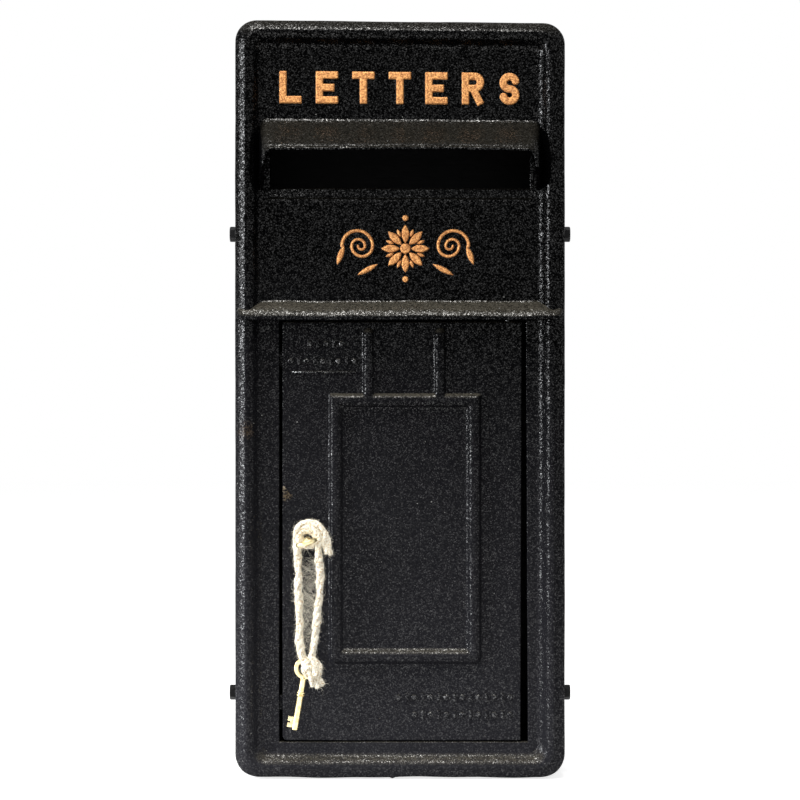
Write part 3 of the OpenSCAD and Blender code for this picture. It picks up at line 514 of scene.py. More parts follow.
key_l, bow_r, bow_hole, bow_t = 0.0465, 0.00825, 0.0049, 0.0030
shank_r, collar_r, collar_top, collar_l = 0.0023, 0.0032, 0.0465 - 0.0174, 0.0036
bit_reach, bit_t, bit_from, bit_l = 0.0061, 0.0020, 0.0015, 0.0080


def key_parts():
    """A key along +Z with its tip at the origin, its bit towards +X and its bow across Y."""
    neck = key_l - bow_r
    low = collar_top - collar_l
    shank = turned([(0.0, 0.0), (shank_r * 0.8, 0.0), (shank_r, 0.0004), (shank_r, low - 0.0006),
                    (shank_r * 1.12, low), (collar_r, low + 0.0005), (collar_r, low + 0.0010),
                    (shank_r * 1.1, low + 0.0014), (shank_r * 1.1, low + 0.0021),
                    (collar_r, low + 0.0025), (collar_r, low + 0.0031), (shank_r, collar_top),
                    (shank_r * 0.93, collar_top + 0.003), (shank_r, neck - 0.001),
                    (shank_r * 1.1, neck + 0.0004), (0.0012, neck + 0.0021), (0.0, neck + 0.0022)])
    bow, faces = ring(bow_r, bow_hole, bow_t, 0.5)
    x0, x1, z0, z1 = shank_r * 0.4, bit_reach, bit_from, bit_from + bit_l
    cut0, cut1, deep = z0 + 0.0034, z0 + 0.0045, bit_reach * 2 / 3
    bit = bar([(x0, z0), (x1, z0), (x1, cut0), (deep, cut0), (deep, cut1), (x1, cut1), (x1, z1),
               (x0, z1)], -bit_t / 2, bit_t / 2, 0.0002)
    return joined([shank, (bow + (0, 0, key_l), faces), bit])


brass = Finish("old_brass")
tarnish = brass.noise(240, 4, 0.62)
file_marks = brass.noise(2600, 2, 0.5, squeeze=(1, 1, 0.12))
patina = brass.mix(tarnish.above(0.48, 0.22), (0.90, 0.78, 0.46), (0.62, 0.42, 0.15))
brass.paint(base_color=patina, metallic=1.0, roughness=tarnish * 0.24 + 0.20,
            normal=brass.bump(file_marks, 0.00006, brass.bump(tarnish, 0.0002)))


def placed_key(name, place, lean, turn, axis):
    """A key, first turned on one axis, then leant in the plane of the front and put in place."""
    points, faces = key_parts()
    grid = np.array(Matrix.Translation(place) @ Matrix.Rotation(math.radians(lean), 4, "Y")
                    @ Matrix.Rotation(math.radians(turn), 4, axis))
    return piece(name, points @ grid[:3, :3].T + grid[:3, 3], faces, brass.material, 40)


key_rest, spare_lean = 17, 9.8
lock_key = placed_key("lock_key", (key_x, -0.1196, key_z), -key_rest, 90, "X")
spare = placed_key("spare_brass_key", (-0.0785, -0.153, -0.2462), spare_lean, 180, "Z")
part_of(lock_key, "key", "key", "brass")
part_of(spare, "door", "spare_key", "brass")
for made, node in ((left_strand, "key_string_left"), (right_strand, "key_string_right"),
                   (top_bunch, "upper_knot"), (low_knot, "lower_knot")):
    part_of(made, "door", node, "twine")


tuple(strand_left[0])
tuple(strand_right[0])

# ---- Casting: the cast-iron front, one piece with a broad rolled rim, a flat face and deep side
# walls, sand cast and painted gloss black. Its skin is slightly uneven, and no corner is sharp.
half_w, half_h, corner_top, corner_low, inner_corner = 0.124, 0.285, 0.0160, 0.0185, 0.0060
plate_in = 0.0216
slot_x, slot_low, slot_high, sill_low = 0.0975, 0.159, 0.190, 0.1503
open_l, open_r, open_low, open_high = -0.0908, 0.0947, -0.2577, 0.0600
rear_y, wall = -0.108, 0.005
slot_soft, opening_soft = 0.0011, 0.0007
sill_fall, sill_half, bead_high, bead_soft = 0.0022, 0.1018, 0.0007, 0.0008
lean_drop, lean_from = 0.0024, 0.10


def grid_lines(low, high, step, marks, soft=slot_soft):
    """Grid lines from low to high: even ones, and close ones beside each mark."""
    lines = set(np.round(np.linspace(low, high, int(round((high - low) / step)) + 1), 6))
    for mark in marks:
        lines = {v for v in lines if abs(v - mark) > soft * 1.25 or v in (low, high)}
        for share in (0, 0.1, 0.3, 0.6, 1.0):
            for side in (-1, 1):
                lines.add(round(mark + side * share * soft, 6))
    return np.array(sorted(v for v in lines if low - 1e-9 <= v <= high + 1e-9))


def lattice(xs, zs, keep, front, back, rimmed):
    """A closed plate on grid lines: keep says which cells it has, front and back give its faces."""
    nx, nz = len(xs), len(zs)
    gx, gz = np.meshgrid(xs, zs, indexing="ij")
    cell = keep((gx[:-1, :-1] + gx[1:, 1:]) / 2, (gz[:-1, :-1] + gz[1:, 1:]) / 2)
    index = np.arange(nx * nz).reshape(nx, nz)
    low = nx * nz
    quads = np.stack([index[:-1, :-1], index[1:, :-1], index[1:, 1:], index[:-1, 1:]], -1)[cell]
    faces = [quads, quads[:, ::-1] + low]
    padded = np.pad(cell, 1)
    for axis in (0, 1):
        one, two = ((padded[:-1, 1:-1], padded[1:, 1:-1]),
                    (padded[1:-1, :-1], padded[1:-1, 1:]))[axis]
        edge = one != two
        if not rimmed:
            if axis == 0:
                edge[0, :] = edge[-1, :] = False
            else:
                edge[:, 0] = edge[:, -1] = False
        i, j = np.nonzero(edge)
        a = index[i, j]
        b = index[i, j + 1] if axis == 0 else index[i + 1, j]
        wall_quads = np.stack([a, b, b + low, a + low], -1)
        turn = two[i, j] if axis == 0 else one[i, j]
        faces.append(np.where(turn[:, None], wall_quads, wall_quads[:, ::-1]))
    faces = np.vstack(faces)
    x, z = gx.ravel(), gz.ravel()
    points = np.vstack([np.stack([x, front(x, z), z], 1), np.stack([x, back(x, z), z], 1)])
    used, faces = np.unique(faces, return_inverse=True)
    return points[used], faces.reshape(-1, 4)


def eased(distance, soft):
    """How far a rounded edge falls back, at a distance in from it."""
    d = np.clip(distance, 0, soft)
    return soft - np.sqrt(np.maximum(soft ** 2 - (soft - d) ** 2, 0))


def uneven(points, scale, seed):
    """Smooth noise between 0 and 1 at each point."""
    shift = Vector((seed * 3.7, seed * 1.3, seed * 5.1))
    return np.array([0.5 + 0.5 * noise.noise(Vector(p) * scale + shift) for p in points.tolist()])


def as_cast(made, waves, seed):
    """Makes a mesh's skin uneven by smooth noise: waves lists (depth, wavelength) pairs."""
    mesh = made.data
    n = len(mesh.vertices)
    points, normals = np.zeros(n * 3), np.zeros(n * 3)
    mesh.vertices.foreach_get("co", points)
    mesh.vertex_normals.foreach_get("vector", normals)
    points, normals = points.reshape(-1, 3), normals.reshape(-1, 3)
    sink = sum(depth * (uneven(points, 1 / wavelength, seed + i) - 0.5)
               for i, (depth, wavelength) in enumerate(waves))
    mesh.vertices.foreach_set("co", (points - normals * sink[:, None]).ravel())
    mesh.update()


def lean_of_top(points):
    """The upper casting's slight lean: its right side lies up to 2.4 mm lower."""
    points = np.array(points, float)
    rise = np.clip((points[:, 2] - lean_from) / (half_h - lean_from), 0, 1)
    side = np.clip((points[:, 0] + half_w) / (2 * half_w), 0, 1)
    points[:, 2] -= lean_drop * rise * rise * (3 - 2 * rise) * side
    return points


# Points (in from the outline, y) round the casting: over the front of its rim, and behind it.
rim_front = [(0.0, -0.1085), (0.0, -0.116), (0.0, -0.124), (0.0, -0.131), (0.00003, -0.1340),
             (0.0001, -0.1358), (0.0004, -0.1378), (0.0010, -0.1394), (0.0018, -0.1407),
             (0.0028, -0.1418), (0.0040, -0.14285), (0.0053, -0.1439), (0.0065, -0.1448),
             (0.0076, -0.14552), (0.0084, -0.1459), (0.0092, -0.1460), (0.0102, -0.1459),
             (0.0115, -0.1455), (0.0126, -0.1449), (0.0137, -0.1440), (0.0149, -0.1426),
             (0.0161, -0.1411), (0.0173, -0.1396), (0.0186, -0.1384), (0.0199, -0.1376),
             (0.0209, -0.13715), (plate_in, face_y)]
rim_back = [(plate_in, back_y), (0.0140, back_y), (0.0085, back_y), (0.0066, -0.1316),
            (0.0054, -0.1304),
            (wall, -0.1285), (wall, -0.118), (wall, -0.1085), (0.0045, rear_y), (0.0005, rear_y),
            (0.0, -0.1085)]
plate_xs = grid_lines(-(half_w - plate_in), half_w - plate_in, 0.0022,
                      [-slot_x, slot_x, open_l, open_r])
plate_zs = grid_lines(-(half_h - plate_in), half_h - plate_in, 0.0022,
                      [slot_low, slot_high, sill_low, open_low, open_high])


def rim_loop(d, y):
    """One loop round the casting, d in from its outline."""
    share = min(d / 0.0205, 1.0)
    last = max(0.0, (d - 0.0205) / (plate_in - 0.0205))
    radii = [(r + (inner_corner - r) * share) * (1 - last)
             for r in (corner_low, corner_low, corner_top, corner_top)]
    a, b = half_w - d, half_h - d
    tx, tz = plate_xs / (half_w - plate_in), plate_zs / (half_h - plate_in)
    points = []
    for side in range(4):
        along, across, ts = ((a, b, tx), (b, a, tz))[side % 2]
        if side > 1:  # these two run backwards along the plate's grid
            ts = -ts[::-1]
        r0, r1 = radii[side], radii[(side + 1) % 4]
        low, high = -along + r0, along - r1
        u = low + (ts + 1) / 2 * (high - low)
        arc = np.radians(-90 + np.linspace(0, 90, 13)[1:-1])
        local = [(v, -across) for v in u]
        local += [(high + r1 * math.cos(t), -across + r1 + r1 * math.sin(t)) for t in arc]
        c, s = ((1, 0), (0, 1), (-1, 0), (0, -1))[side]
        points += [(c * p - s * q, y, s * p + c * q) for p, q in local]
    return points


def casting_parts():
    loops = [rim_loop(*p) for p in rim_back[:-1] + rim_front]
    points = np.array([p for loop in loops for p in loop])

    def keep(x, z):
        slot = (abs(x) < slot_x) & (z > slot_low) & (z < slot_high)
        way = (x > open_l) & (x < open_r) & (z > open_low) & (z < open_high)
        return ~(slot | way)

    def front(x, z):
        y = np.full(x.shape, face_y)
        in_slot = np.maximum(np.abs(x) - slot_x, np.maximum(slot_low - z, z - slot_high))
        y = y + np.where(in_slot > -1e-7, eased(in_slot, slot_soft), 0)
        in_way = np.maximum(np.maximum(open_l - x, x - open_r),
                            np.maximum(open_low - z, z - open_high))
        y = y + np.where(in_way > -1e-7, eased(in_way, opening_soft), 0)
        slope = np.clip((z - sill_low) / (slot_low - sill_low), 0, 1)
        ends = np.clip((sill_half - np.abs(x)) / 0.003, 0, 1)
        y = y + np.where(z < slot_low + 1e-6, slope * sill_fall * ends, 0)
        bead = np.exp(-((z - sill_low + 0.0003) / bead_soft) ** 2) * bead_high * ends
        return y - bead
    return joined([(points, bands(len(loops[0]), len(loops))),
                   lattice(plate_xs, plate_zs, keep, front, flat_back, False)])


def flat_back(x, z):
    return np.full(x.shape, back_y)


def cast_black(name, chips=(), shine=0.53):
    """Black enamel brushed over rough iron: glossy in specks and dull between them, with a dusty
    olive film and painted top light on what faces up, painted light that turns the black a lighter
    blue-grey towards the bottom and the left, a painted sheen on faces turned up or to the left,
    and a few chips (place, size, colour)."""
    paint = Finish(name)
    grain, coarse = paint.noise(820, 1.5, 0.55), paint.noise(300, 2, 0.5)
    patch = paint.noise(14, 3, 0.6)
    at = {"Vector": paint.place}
    cells = paint.add("ShaderNodeTexVoronoi", {**at, "Scale": 1420.0}, out="Color")
    point = paint.add("ShaderNodeSeparateColor", {0: cells})
    across = paint.add("ShaderNodeSeparateXYZ", {0: paint.place})
    height = across["Z"]
    facing = paint.add("ShaderNodeSeparateXYZ", {0: paint.add("ShaderNodeTexCoord", out="Normal")})
    up = facing["Z"]
    # Painted light: the black turns a lighter blue-grey towards the bottom and the left, where the
    # light was brighter.
    low = (0.08 - height - across * 0.30).above(0.0, 0.36)
    # Dusty olive film with painted top light: what faces up turns a speckled olive, weaker high up.
    dust_and_top_light = up.above(0.30, 0.42) * (0.25 + 0.75 * (0.14 - height).above(0.0, 0.04))
    dust_and_top_light = dust_and_top_light * (point + patch * 0.25)
    colour = paint.mix(low, (0.0006, 0.0006, 0.0007), (0.0172, 0.0172, 0.0205))
    colour = paint.mix(dust_and_top_light, colour, (0.057, 0.052, 0.041))
    speck = paint.add("ShaderNodeTexVoronoi", {**at, "Scale": 150.0})
    fleck = (0.075 - speck).above(0.0, 0.03) * paint.noise(45, 1).above(0.60, 0.05)
    colour = paint.mix(fleck * 0.6, colour, (0.42, 0.42, 0.40))
    for place, size, tint in chips:
        off = paint.add("ShaderNodeVectorMath", {0: paint.place, 1: place}, out="Value",
                        operation="DISTANCE")
        ragged = (coarse - 0.5) * 1.6 + (point - 0.5) * 1.5
        colour = paint.mix((1 - off / size + ragged).above(0.45, 0.5), colour, tint)
    skin = paint.bump(grain, 0.00016, paint.bump(coarse, 0.00040))
    paint.paint(base_color=colour, roughness=0.6, specular_ior_level=0.0, normal=skin)
    wet = paint.add("ShaderNodeBsdfPrincipled", {
        "Base Color": colour, "Roughness": 0.20, "Specular IOR Level": 1.0, "Normal": skin})
    # Painted sheen: the paint is glossier on faces turned up and, on the left half, on faces turned
    # left, towards the lamps, so they catch more highlight.
    sheen_to_lamps = up.above(0.08, 0.25) * (0.55 + 0.45 * (height + 0.25).above(0.0, 0.05))
    sheen_to_lamps = sheen_to_lamps + (0 - facing).above(0.2, 0.3) * (0 - across).above(0.03, 0.05)
    glints = shine * point ** 5 * (0.5 + grain) * (1 + 0.25 * sheen_to_lamps)
    return paint.cover("ShaderNodeMixShader", {0: 0.002 + glints + 0.034 * sheen_to_lamps * grain,
                                               1: None, 2: wet})


casting_paint = cast_black("cast_gloss_black", [
    ((-0.1150, -0.1440, -0.0240), 0.0075, (0.030, 0.020, 0.012)),
    ((-0.0430, -0.1640, 0.1872), 0.0020, (0.50, 0.50, 0.48)),
    ((-0.0395, -0.1640, 0.1868), 0.0016, (0.50, 0.50, 0.48)),
    ((0.0585, -0.1372, 0.2092), 0.0019, (0.45, 0.45, 0.44))])
casting = piece("cast_front", *casting_parts(), casting_paint, 50)
as_cast(casting, [(0.00045, 0.060), (0.00022, 0.014)], 11)
skin = lean_of_top([v.co for v in casting.data.vertices])
edge_lean, foot_bead, foot_rise, drip_x = 0.0015, 0.0010, 0.0006, -0.0053
beside = np.clip(1 - np.abs(skin[:, 0] - open_r) / 0.009, 0, 1) * (skin[:, 2] > open_low - 0.012)
down = np.clip((open_high - skin[:, 2]) / (open_high - open_low), 0, 1)
skin[:, 0] += edge_lean * beside * down
foot = np.exp(-((skin[:, 2] + half_h - plate_in) / 0.0028) ** 2) * (skin[:, 1] < -0.1363)
skin[:, 1] -= foot_bead * foot * np.clip((0.106 - np.abs(skin[:, 0])) / 0.008, 0, 1)
at_foot = np.clip((0.005 - half_h - skin[:, 2]) / 0.005, 0, 1)
waves = 0.0004 * np.sin(skin[:, 0] * 47 + 0.6) + 0.0002 * np.sin(skin[:, 0] * 131)
skin[:, 2] += at_foot * (foot_rise + waves)
skin[:, 2] -= at_foot * 0.0012 * np.exp(-((skin[:, 0] - drip_x) / 0.0013) ** 2)
skin[:, 2] = np.clip(skin[:, 2], -half_h, half_h)
casting.data.vertices.foreach_set("co", skin.ravel())
part_of(casting, "box", "front_casting", "black_casting")

# ---- Hood: the sloping hood over the posting slot, cast with the front. A sheet 3 mm thick runs
# out and down to a thin bowed lip, rolls over at both shoulders and tapers back as two cheeks.
hood_half, hood_root, hood_reach, hood_t, lip_t = 0.1056, 0.2093, 0.027, 0.0032, 0.0021


def hood_section(v):
    """The hood's outer line at v, from 0 at the root to 1 at the lip: x, z and outward normals."""
    top = hood_root - 0.0205 * v - 0.0014 * v * v
    foot = 0.1570 + 0.0165 * v ** 1.3
    wide, tall = 0.0060 + 0.0020 * v, 0.0070 + 0.0045 * v
    half = hood_half - 0.0033 * v ** 1.4
    line = []
    for s in (-1, 1):
        side = [(s * half, z, s, 0.0) for z in np.linspace(foot, top - tall, 12)[:-1]]
        roll = [(s * (half - wide + wide * math.cos(t)), top - tall + tall * math.sin(t),
                 s * math.cos(t), math.sin(t)) for t in np.linspace(0, math.pi / 2, 11)]
        line.append(side + roll)
    across = [(x, top, 0.0, 1.0) for x in np.linspace(-half + wide, half - wide, 60)[1:-1]]
    return np.array(line[0] + across + line[1][::-1])


def hood_parts():
    rows = []
    stations = [(-0.09, 0.0), (0.0, 0.0016), (0.02, 0.0010), (0.045, 0.0006), (0.08, 0.0003),
                (0.12, 0.0001), (0.16, 0.0)] + [(v, 0.0) for v in np.linspace(0.22, 0.94, 12)]

    def row(section, y, grown):
        rows.append(np.stack([section[:, 0] + grown * section[:, 2], np.full(len(section), y),
                              section[:, 1] + grown * section[:, 3]], 1))

    for v, flare in stations:
        row(hood_section(max(v, 0.0)), face_y - hood_reach * v, flare)
    for a in np.linspace(0, math.pi, 9):
        row(hood_section(1.0), face_y - hood_reach + lip_t / 2 - lip_t / 2 * math.sin(a),
            -lip_t / 2 * (1 - math.cos(a)))
    for v in np.linspace(0.94, -0.09, 14):
        row(hood_section(max(v, 0.0)), face_y - hood_reach * v,
            (hood_t - lip_t) * max(v, 0.0) - hood_t)
    n, m = len(rows[0]), len(rows)
    points = np.vstack(rows)
    faces = bands(n, m, around=False, along=True)
    faces += [tuple(i * n for i in range(m))[::-1], tuple(i * n + n - 1 for i in range(m))]
    lip = np.clip((-points[:, 1] + face_y - 0.012) / 0.015, 0, 1)
    points[:, 2] += lip * (0.0005 * np.sin(points[:, 0] * 31 + 0.8) - 0.0004)
    return lean_of_top(points), faces


hood = piece("slot_hood", *hood_parts(), casting_paint, 60)
as_cast(hood, [(0.0003, 0.03), (0.00018, 0.009)], 23)
part_of(hood, "box", "front_casting", "black_casting")

# ---- Drip ledge: a cast ledge right across the front above the door, its top sloping forward to a
# round nose. It was finished by hand, so it wanders a little, and its ends are rounded off.
ledge_half, ledge_low, ledge_high, ledge_end = 0.1225, 0.0590, 0.0721, 0.0075


def ledge_parts():
    # (out from the face, share of the height) round the section
    section = [(-0.003, 0.0), (-0.003, 1.14), (0.0, 1.14), (0.0006, 1.06), (0.0016, 0.99),
               (0.0034, 0.91), (0.0056, 0.80), (0.0078, 0.66), (0.0098, 0.50), (0.0111, 0.37),
               (0.0119, 0.27), (0.01235, 0.20), (0.0125, 0.13), (0.0123, 0.07), (0.0117, 0.02),
               (0.0108, 0.0), (0.0060, 0.0), (0.0020, 0.0)]
    straight = ledge_half - ledge_end
    ends = ledge_half - ledge_end * (1 - np.sin(np.radians(np.linspace(0, 90, 10))))
    xs = np.sort(np.concatenate([-ends, np.linspace(-straight, straight, 120)[1:-1], ends]))
    rows = []
    for x in xs:
        inset = max(0.0, abs(x) - straight) / ledge_end
        shrink = math.sqrt(max(0.0, 1 - inset ** 2))
        wander = 0.0002 * math.sin(x * 52 + 1) + 0.00018 * math.sin(x * 131)
        for d, h in section:
            out = d if d <= 0 else d * (0.35 + 0.65 * shrink)
            rise = 0.32 + (h - 0.32) * (0.55 + 0.45 * shrink)
            rows.append((x, face_y - out, ledge_low + rise * (ledge_high - ledge_low)
                         + (wander if h > 0.05 else wander * 0.4)))
    n, m = len(section), len(xs)
    return rows, bands(n, m) + [cap[::-1] for cap in caps(n, m)]


ledge = piece("drip_ledge", *ledge_parts(), casting_paint, 55)
as_cast(ledge, [(0.0003, 0.02), (0.00022, 0.007)], 31)
part_of(ledge, "box", "front_casting", "black_casting")

# ---- Lettering: one plain word cast in relief above the hood, painted gold on its face by hand,
# so that the paint stops short of the letters' feet. It only says what the box is for.
letter_h, letter_w, stroke, word_w, word_low, raised = 0.025, 0.0175, 0.0062, 0.182, 0.222, 0.0024


def oblong(x, z, x0, x1, z0, z1, soft=0.0009):
    """Distance into an upright rectangle with eased corners, negative outside it."""
    qx = np.abs(x - (x0 + x1) / 2) - (x1 - x0) / 2 + soft
    qz = np.abs(z - (z0 + z1) / 2) - (z1 - z0) / 2 + soft
    return soft - np.hypot(np.maximum(qx, 0), np.maximum(qz, 0)) - np.minimum(np.maximum(qx, qz), 0)


def bent(x, z, cx, cz, radius, width, a0, a1):
    """Distance into an arc-shaped bar, from angle a0 to a1 in degrees."""
    middle, half = math.radians((a0 + a1) / 2), math.radians(abs(a1 - a0) / 2)
    angle = (np.arctan2(z - cz, x - cx) - middle + math.pi) % (2 * math.pi) - math.pi
    r = np.hypot(x - cx, z - cz)
    on_arc = width / 2 - np.abs(r - radius)
    a = np.clip(angle, -half, half) + middle
    off = width / 2 - np.hypot(x - cx - radius * np.cos(a), z - cz - radius * np.sin(a))
    return np.where(np.abs(angle) <= half, on_arc, off)


def limb(x, z, a, b, width):
    """Distance into a straight bar from a to b with square ends."""
    a, b = np.array(a), np.array(b)
    way = (b - a) / np.linalg.norm(b - a)
    u = (x - a[0]) * way[0] + (z - a[1]) * way[1]
    v = -(x - a[0]) * way[1] + (z - a[1]) * way[0]
    return oblong(u, v, 0, np.linalg.norm(b - a), -width / 2, width / 2)


def letter(kind, x, z):
    h, w, s = letter_h, letter_w, stroke
    if kind in "LE":
        parts = [oblong(x, z, 0, s, 0, h), oblong(x, z, 0, w, 0, s)]
        if kind == "E":
            parts += [oblong(x, z, 0, w, h - s, h),
                      oblong(x, z, 0, w * 0.84, (h - s) / 2, (h + s) / 2)]
    elif kind == "T":
        parts = [oblong(x, z, 0, w, h - s, h), oblong(x, z, (w - s) / 2, (w + s) / 2, 0, h)]
    elif kind == "R":
        r = 0.31 * h
        parts = [oblong(x, z, 0, s, 0, h), oblong(x, z, 0, w - r, h - s, h),
                 oblong(x, z, 0, w - r, h - 2 * r, h - 2 * r + s),
                 bent(x, z, w - r, h - r, r - s / 2, s, -90, 90),
                 limb(x, z, (s * 1.35, h - 2 * r + s * 0.6), (w - s * 0.42, 0.0), s)]
    else:
        r = (h + s) / 4
        parts = [bent(x, z, w / 2, h - r, r - s / 2, s, 15, 270),
                 bent(x, z, w / 2, r, r - s / 2, s, -165, 90)]
    return np.max(parts, axis=0)


def relief(name, x0, x1, z0, z1, inside, draft, step=0.00042, sunk=0.0012):
    """A raised gold figure: inside gives the distance into its outline, and draft its slope."""
    xs, zs = np.arange(x0, x1, step), np.arange(z0, z1, step)
    gx, gz = np.meshgrid(xs, zs, indexing="ij")
    into = inside(gx, gz)
    share = np.clip(into / draft, -1, 1)
    height = np.where(share > 0, raised * np.sin(np.maximum(share, 0) * math.pi / 2) ** 0.8,
                      share * sunk)
    near = into > -draft * 1.15
    cell = near[:-1, :-1] & near[1:, :-1] & near[1:, 1:] & near[:-1, 1:]

    def look_up(table):
        return lambda x, z: table[np.clip(np.rint((x - x0) / step).astype(int), 0, len(xs) - 1),
                                  np.clip(np.rint((z - z0) / step).astype(int), 0, len(zs) - 1)]

    cells, heights = look_up(np.pad(cell, ((0, 1), (0, 1)))), look_up(height)
    points, faces = lattice(xs, zs, lambda x, z: cells(x - step / 2, z - step / 2),
                            lambda x, z: face_y - heights(x, z),
                            lambda x, z: np.full(x.shape, face_y + sunk * 1.3), True)
    made = piece(name, lean_of_top(points), faces, gold_paint, 60)
    part_of(made, "box", "front_casting", "gold_paint")


def gold_on_black(name):
    """Gold paint on the raised faces, ending in the black of the casting near the foot."""
    paint = Finish(name)
    grain, coarse = paint.noise(980, 1.5, 0.6), paint.noise(420, 3, 0.6)
    out = paint.add("ShaderNodeSeparateXYZ", {0: paint.place}, out="Y")
    painted = ((face_y - 0.0009) - out + (coarse - 0.5) * 0.0007).above(0.0, 0.0003)
    gold = paint.mix(grain.above(0.40, 0.24), (0.30, 0.115, 0.034), (0.76, 0.37, 0.125))
    gold = paint.mix(coarse.above(0.56, 0.2) * 0.4, gold, (0.90, 0.52, 0.21))
    return paint.paint(base_color=paint.mix(painted, (0.008, 0.008, 0.010), gold),
                       metallic=painted * 0.35, roughness=0.40 + 0.14 * coarse,
                       specular_ior_level=0.32,
                       normal=paint.bump(grain, 0.00045, paint.bump(coarse, 0.0003)))


gold_paint = gold_on_black("gold_paint")
word = "LETTERS"
pitch = (word_w - letter_w) / (len(word) - 1)


def word_inside(x, z):
    return np.max([letter(c, x + word_w / 2 - i * pitch, z - word_low) for i, c in enumerate(word)],
                  axis=0)


relief("gold_lettering", -0.095, 0.096, word_low - 0.003, word_low + 0.029, word_inside, 0.0011)

# ---- Ornament: a rosette between two scrolls, cast in thin relief below the slot and painted gold.
# It is a founder's stock flower, with a boss, two rows of petals and small leaves on the scrolls.
flower = (0.004, 0.113)
boss_r, scroll_w, scroll_r, petal_l, petal_w = 0.0042, 0.0030, 0.013, 0.015, 0.0065


def leaf(x, z, angle, near, length, width):
    """Distance into a pointed leaf along a ray at an angle, starting near the centre."""
    c, s = math.cos(math.radians(angle)), math.sin(math.radians(angle))
    u, v = x * c + z * s - near, -x * s + z * c
    t = np.clip(2 * u / length - 1, -1.3, 1.3)
    return (width / 2 * (1 - t * t) - np.abs(v)) * 0.85


def ornament_inside(x, z):
    x, z = x - flower[0], z - flower[1]
    near = boss_r - 0.0006
    parts = [boss_r - np.hypot(x, z)]
    parts += [leaf(x, z, i * 45, near, petal_l, petal_w) for i in range(8)]
    parts += [leaf(x, z, i * 45 + 22.5, near + 0.35 * petal_l, 0.5 * petal_l, 0.5 * petal_w)
              for i in range(8)]
    parts += [0.0026 - np.hypot(x, z - s * (near + petal_l + 0.0045)) for s in (-1, 1)]
    for m in (-1, 1):
        u = m * x - (near + petal_l + 0.003 + 2 * scroll_r)
        w = z - 0.002
        end = 0.0
        for i, shrink in enumerate((1, 0.72, 0.5, 0.32)):
            middle = shrink * scroll_r - scroll_w / 2
            sign = -1 if i % 2 == 0 else 1
            parts.append(bent(u, w, end + sign * middle, 0, middle, scroll_w * (1 - 0.06 * i),
                              i % 2 * 180, i % 2 * 180 + 180))
            end += sign * 2 * middle
        parts.append(leaf(u + scroll_w / 2, w, -70, -0.001, 1.3 * scroll_r, 1.7 * scroll_w))
        parts.append(leaf(m * x - (near + petal_l + 0.002), z + 0.9 * scroll_r, -28, -0.001,
                          1.5 * scroll_r, 1.5 * scroll_w))
    return np.max(parts, axis=0)


relief("gold_ornament", -0.062, 0.070, 0.080, 0.146, ornament_inside, 0.0012)

# ---- Door: the cast door below the ledge, hung on the right and locked on the left. In relief it
# has a notice frame with mitred bars and two ribs above it; its back is left plain.
door_l, door_r, door_low, door_high = -0.0883, 0.0906, -0.2566, 0.0580
frame_x, frame_z = (-0.0533, 0.0611), (-0.1986, 0.0040)
bar_w, rib_r, rib_top = 0.0115, 0.0043, 0.0525
rib_xs = (-0.0237, 0.0301)
edge_soft, corner_r, door_lean = 0.0008, 0.0035, 0.0009
# (in from the frame's outline, height of its bar there), in millimetres
bar_section = np.array([(-0.9, 0), (0, 0.25), (0.5, 1.6), (1.2, 2.9), (2.3, 3.9), (3.8, 4.45),
                        (6.0, 4.6), (7.4, 4.35), (8.6, 3.4), (9.8, 1.8), (10.7, 0.6), (11.3, 0.0),
                        (11.9, -0.35), (12.5, -0.25), (13.4, 0)]) / 1000


def door_relief(x, z):
    cx, cz = sum(frame_x) / 2, sum(frame_z) / 2
    hx, hz = (frame_x[1] - frame_x[0]) / 2, (frame_z[1] - frame_z[0]) / 2
    round_r = np.where(z < cz, 0.0050, 0.0004)
    qx, qz = np.abs(x - cx) - hx + round_r, np.abs(z - cz) - hz + round_r
    into = round_r - np.hypot(np.maximum(qx, 0), np.maximum(qz, 0)) \
        - np.minimum(np.maximum(qx, qz), 0)
    rise = np.interp(into, bar_section[:, 0], bar_section[:, 1])
    for rx in rib_xs:
        over = np.hypot(x - rx, np.maximum(z - (rib_top - rib_r), 0))
        rib = np.where(over < rib_r, np.sqrt(np.maximum(rib_r ** 2 - over ** 2, 0)), 0)
        foot = 0.0005 * np.exp(-np.maximum(over - rib_r, 0) / 0.0006)
        rib = np.where(z > frame_z[1] - bar_w * 0.6, np.maximum(rib, foot), 0)
        rise = np.maximum(rise, rib)
    return rise


def door_front(x, z):
    edge = np.minimum(np.minimum(x - door_l, door_r - x), np.minimum(z - door_low, door_high - z))
    return face_y + eased(edge, edge_soft) - door_relief(x, z)


door_xs = grid_lines(door_l, door_r, 0.00125, [door_l, door_r], edge_soft)
door_zs = grid_lines(door_low, door_high, 0.00125, [door_low, door_high], edge_soft)
door_paint = cast_black("door_gloss_black", [
    ((-0.0850, -0.1370, -0.0725), 0.0042, (0.085, 0.062, 0.036)),
    ((-0.0878, -0.1365, -0.0680), 0.0026, (0.20, 0.16, 0.11))])
door = piece("cast_door", *lattice(door_xs, door_zs, lambda x, z: np.ones(x.shape, bool),
                                   door_front, flat_back, True), door_paint, 50)
as_cast(door, [(0.00035, 0.050), (0.00016, 0.012)], 41)
skin = np.array([v.co for v in door.data.vertices])
from_x, from_z = skin[:, 0] - door_l - corner_r, skin[:, 2] - door_low - corner_r
reach = np.maximum(-from_x, -from_z) / np.maximum(np.hypot(from_x, from_z), 1e-9)
shrink = np.where((from_x < 0) & (from_z < 0), reach, 1.0)
skin[:, 0] = door_l + corner_r + from_x * shrink
skin[:, 2] = door_low + corner_r + from_z * shrink
skin[:, 0] += door_lean * np.clip((skin[:, 0] - 0.07) / 0.02, 0, 1) \
    * np.clip((skin[:, 2] + 0.25) / 0.3, 0, 1)
door.data.vertices.foreach_set("co", skin.ravel())
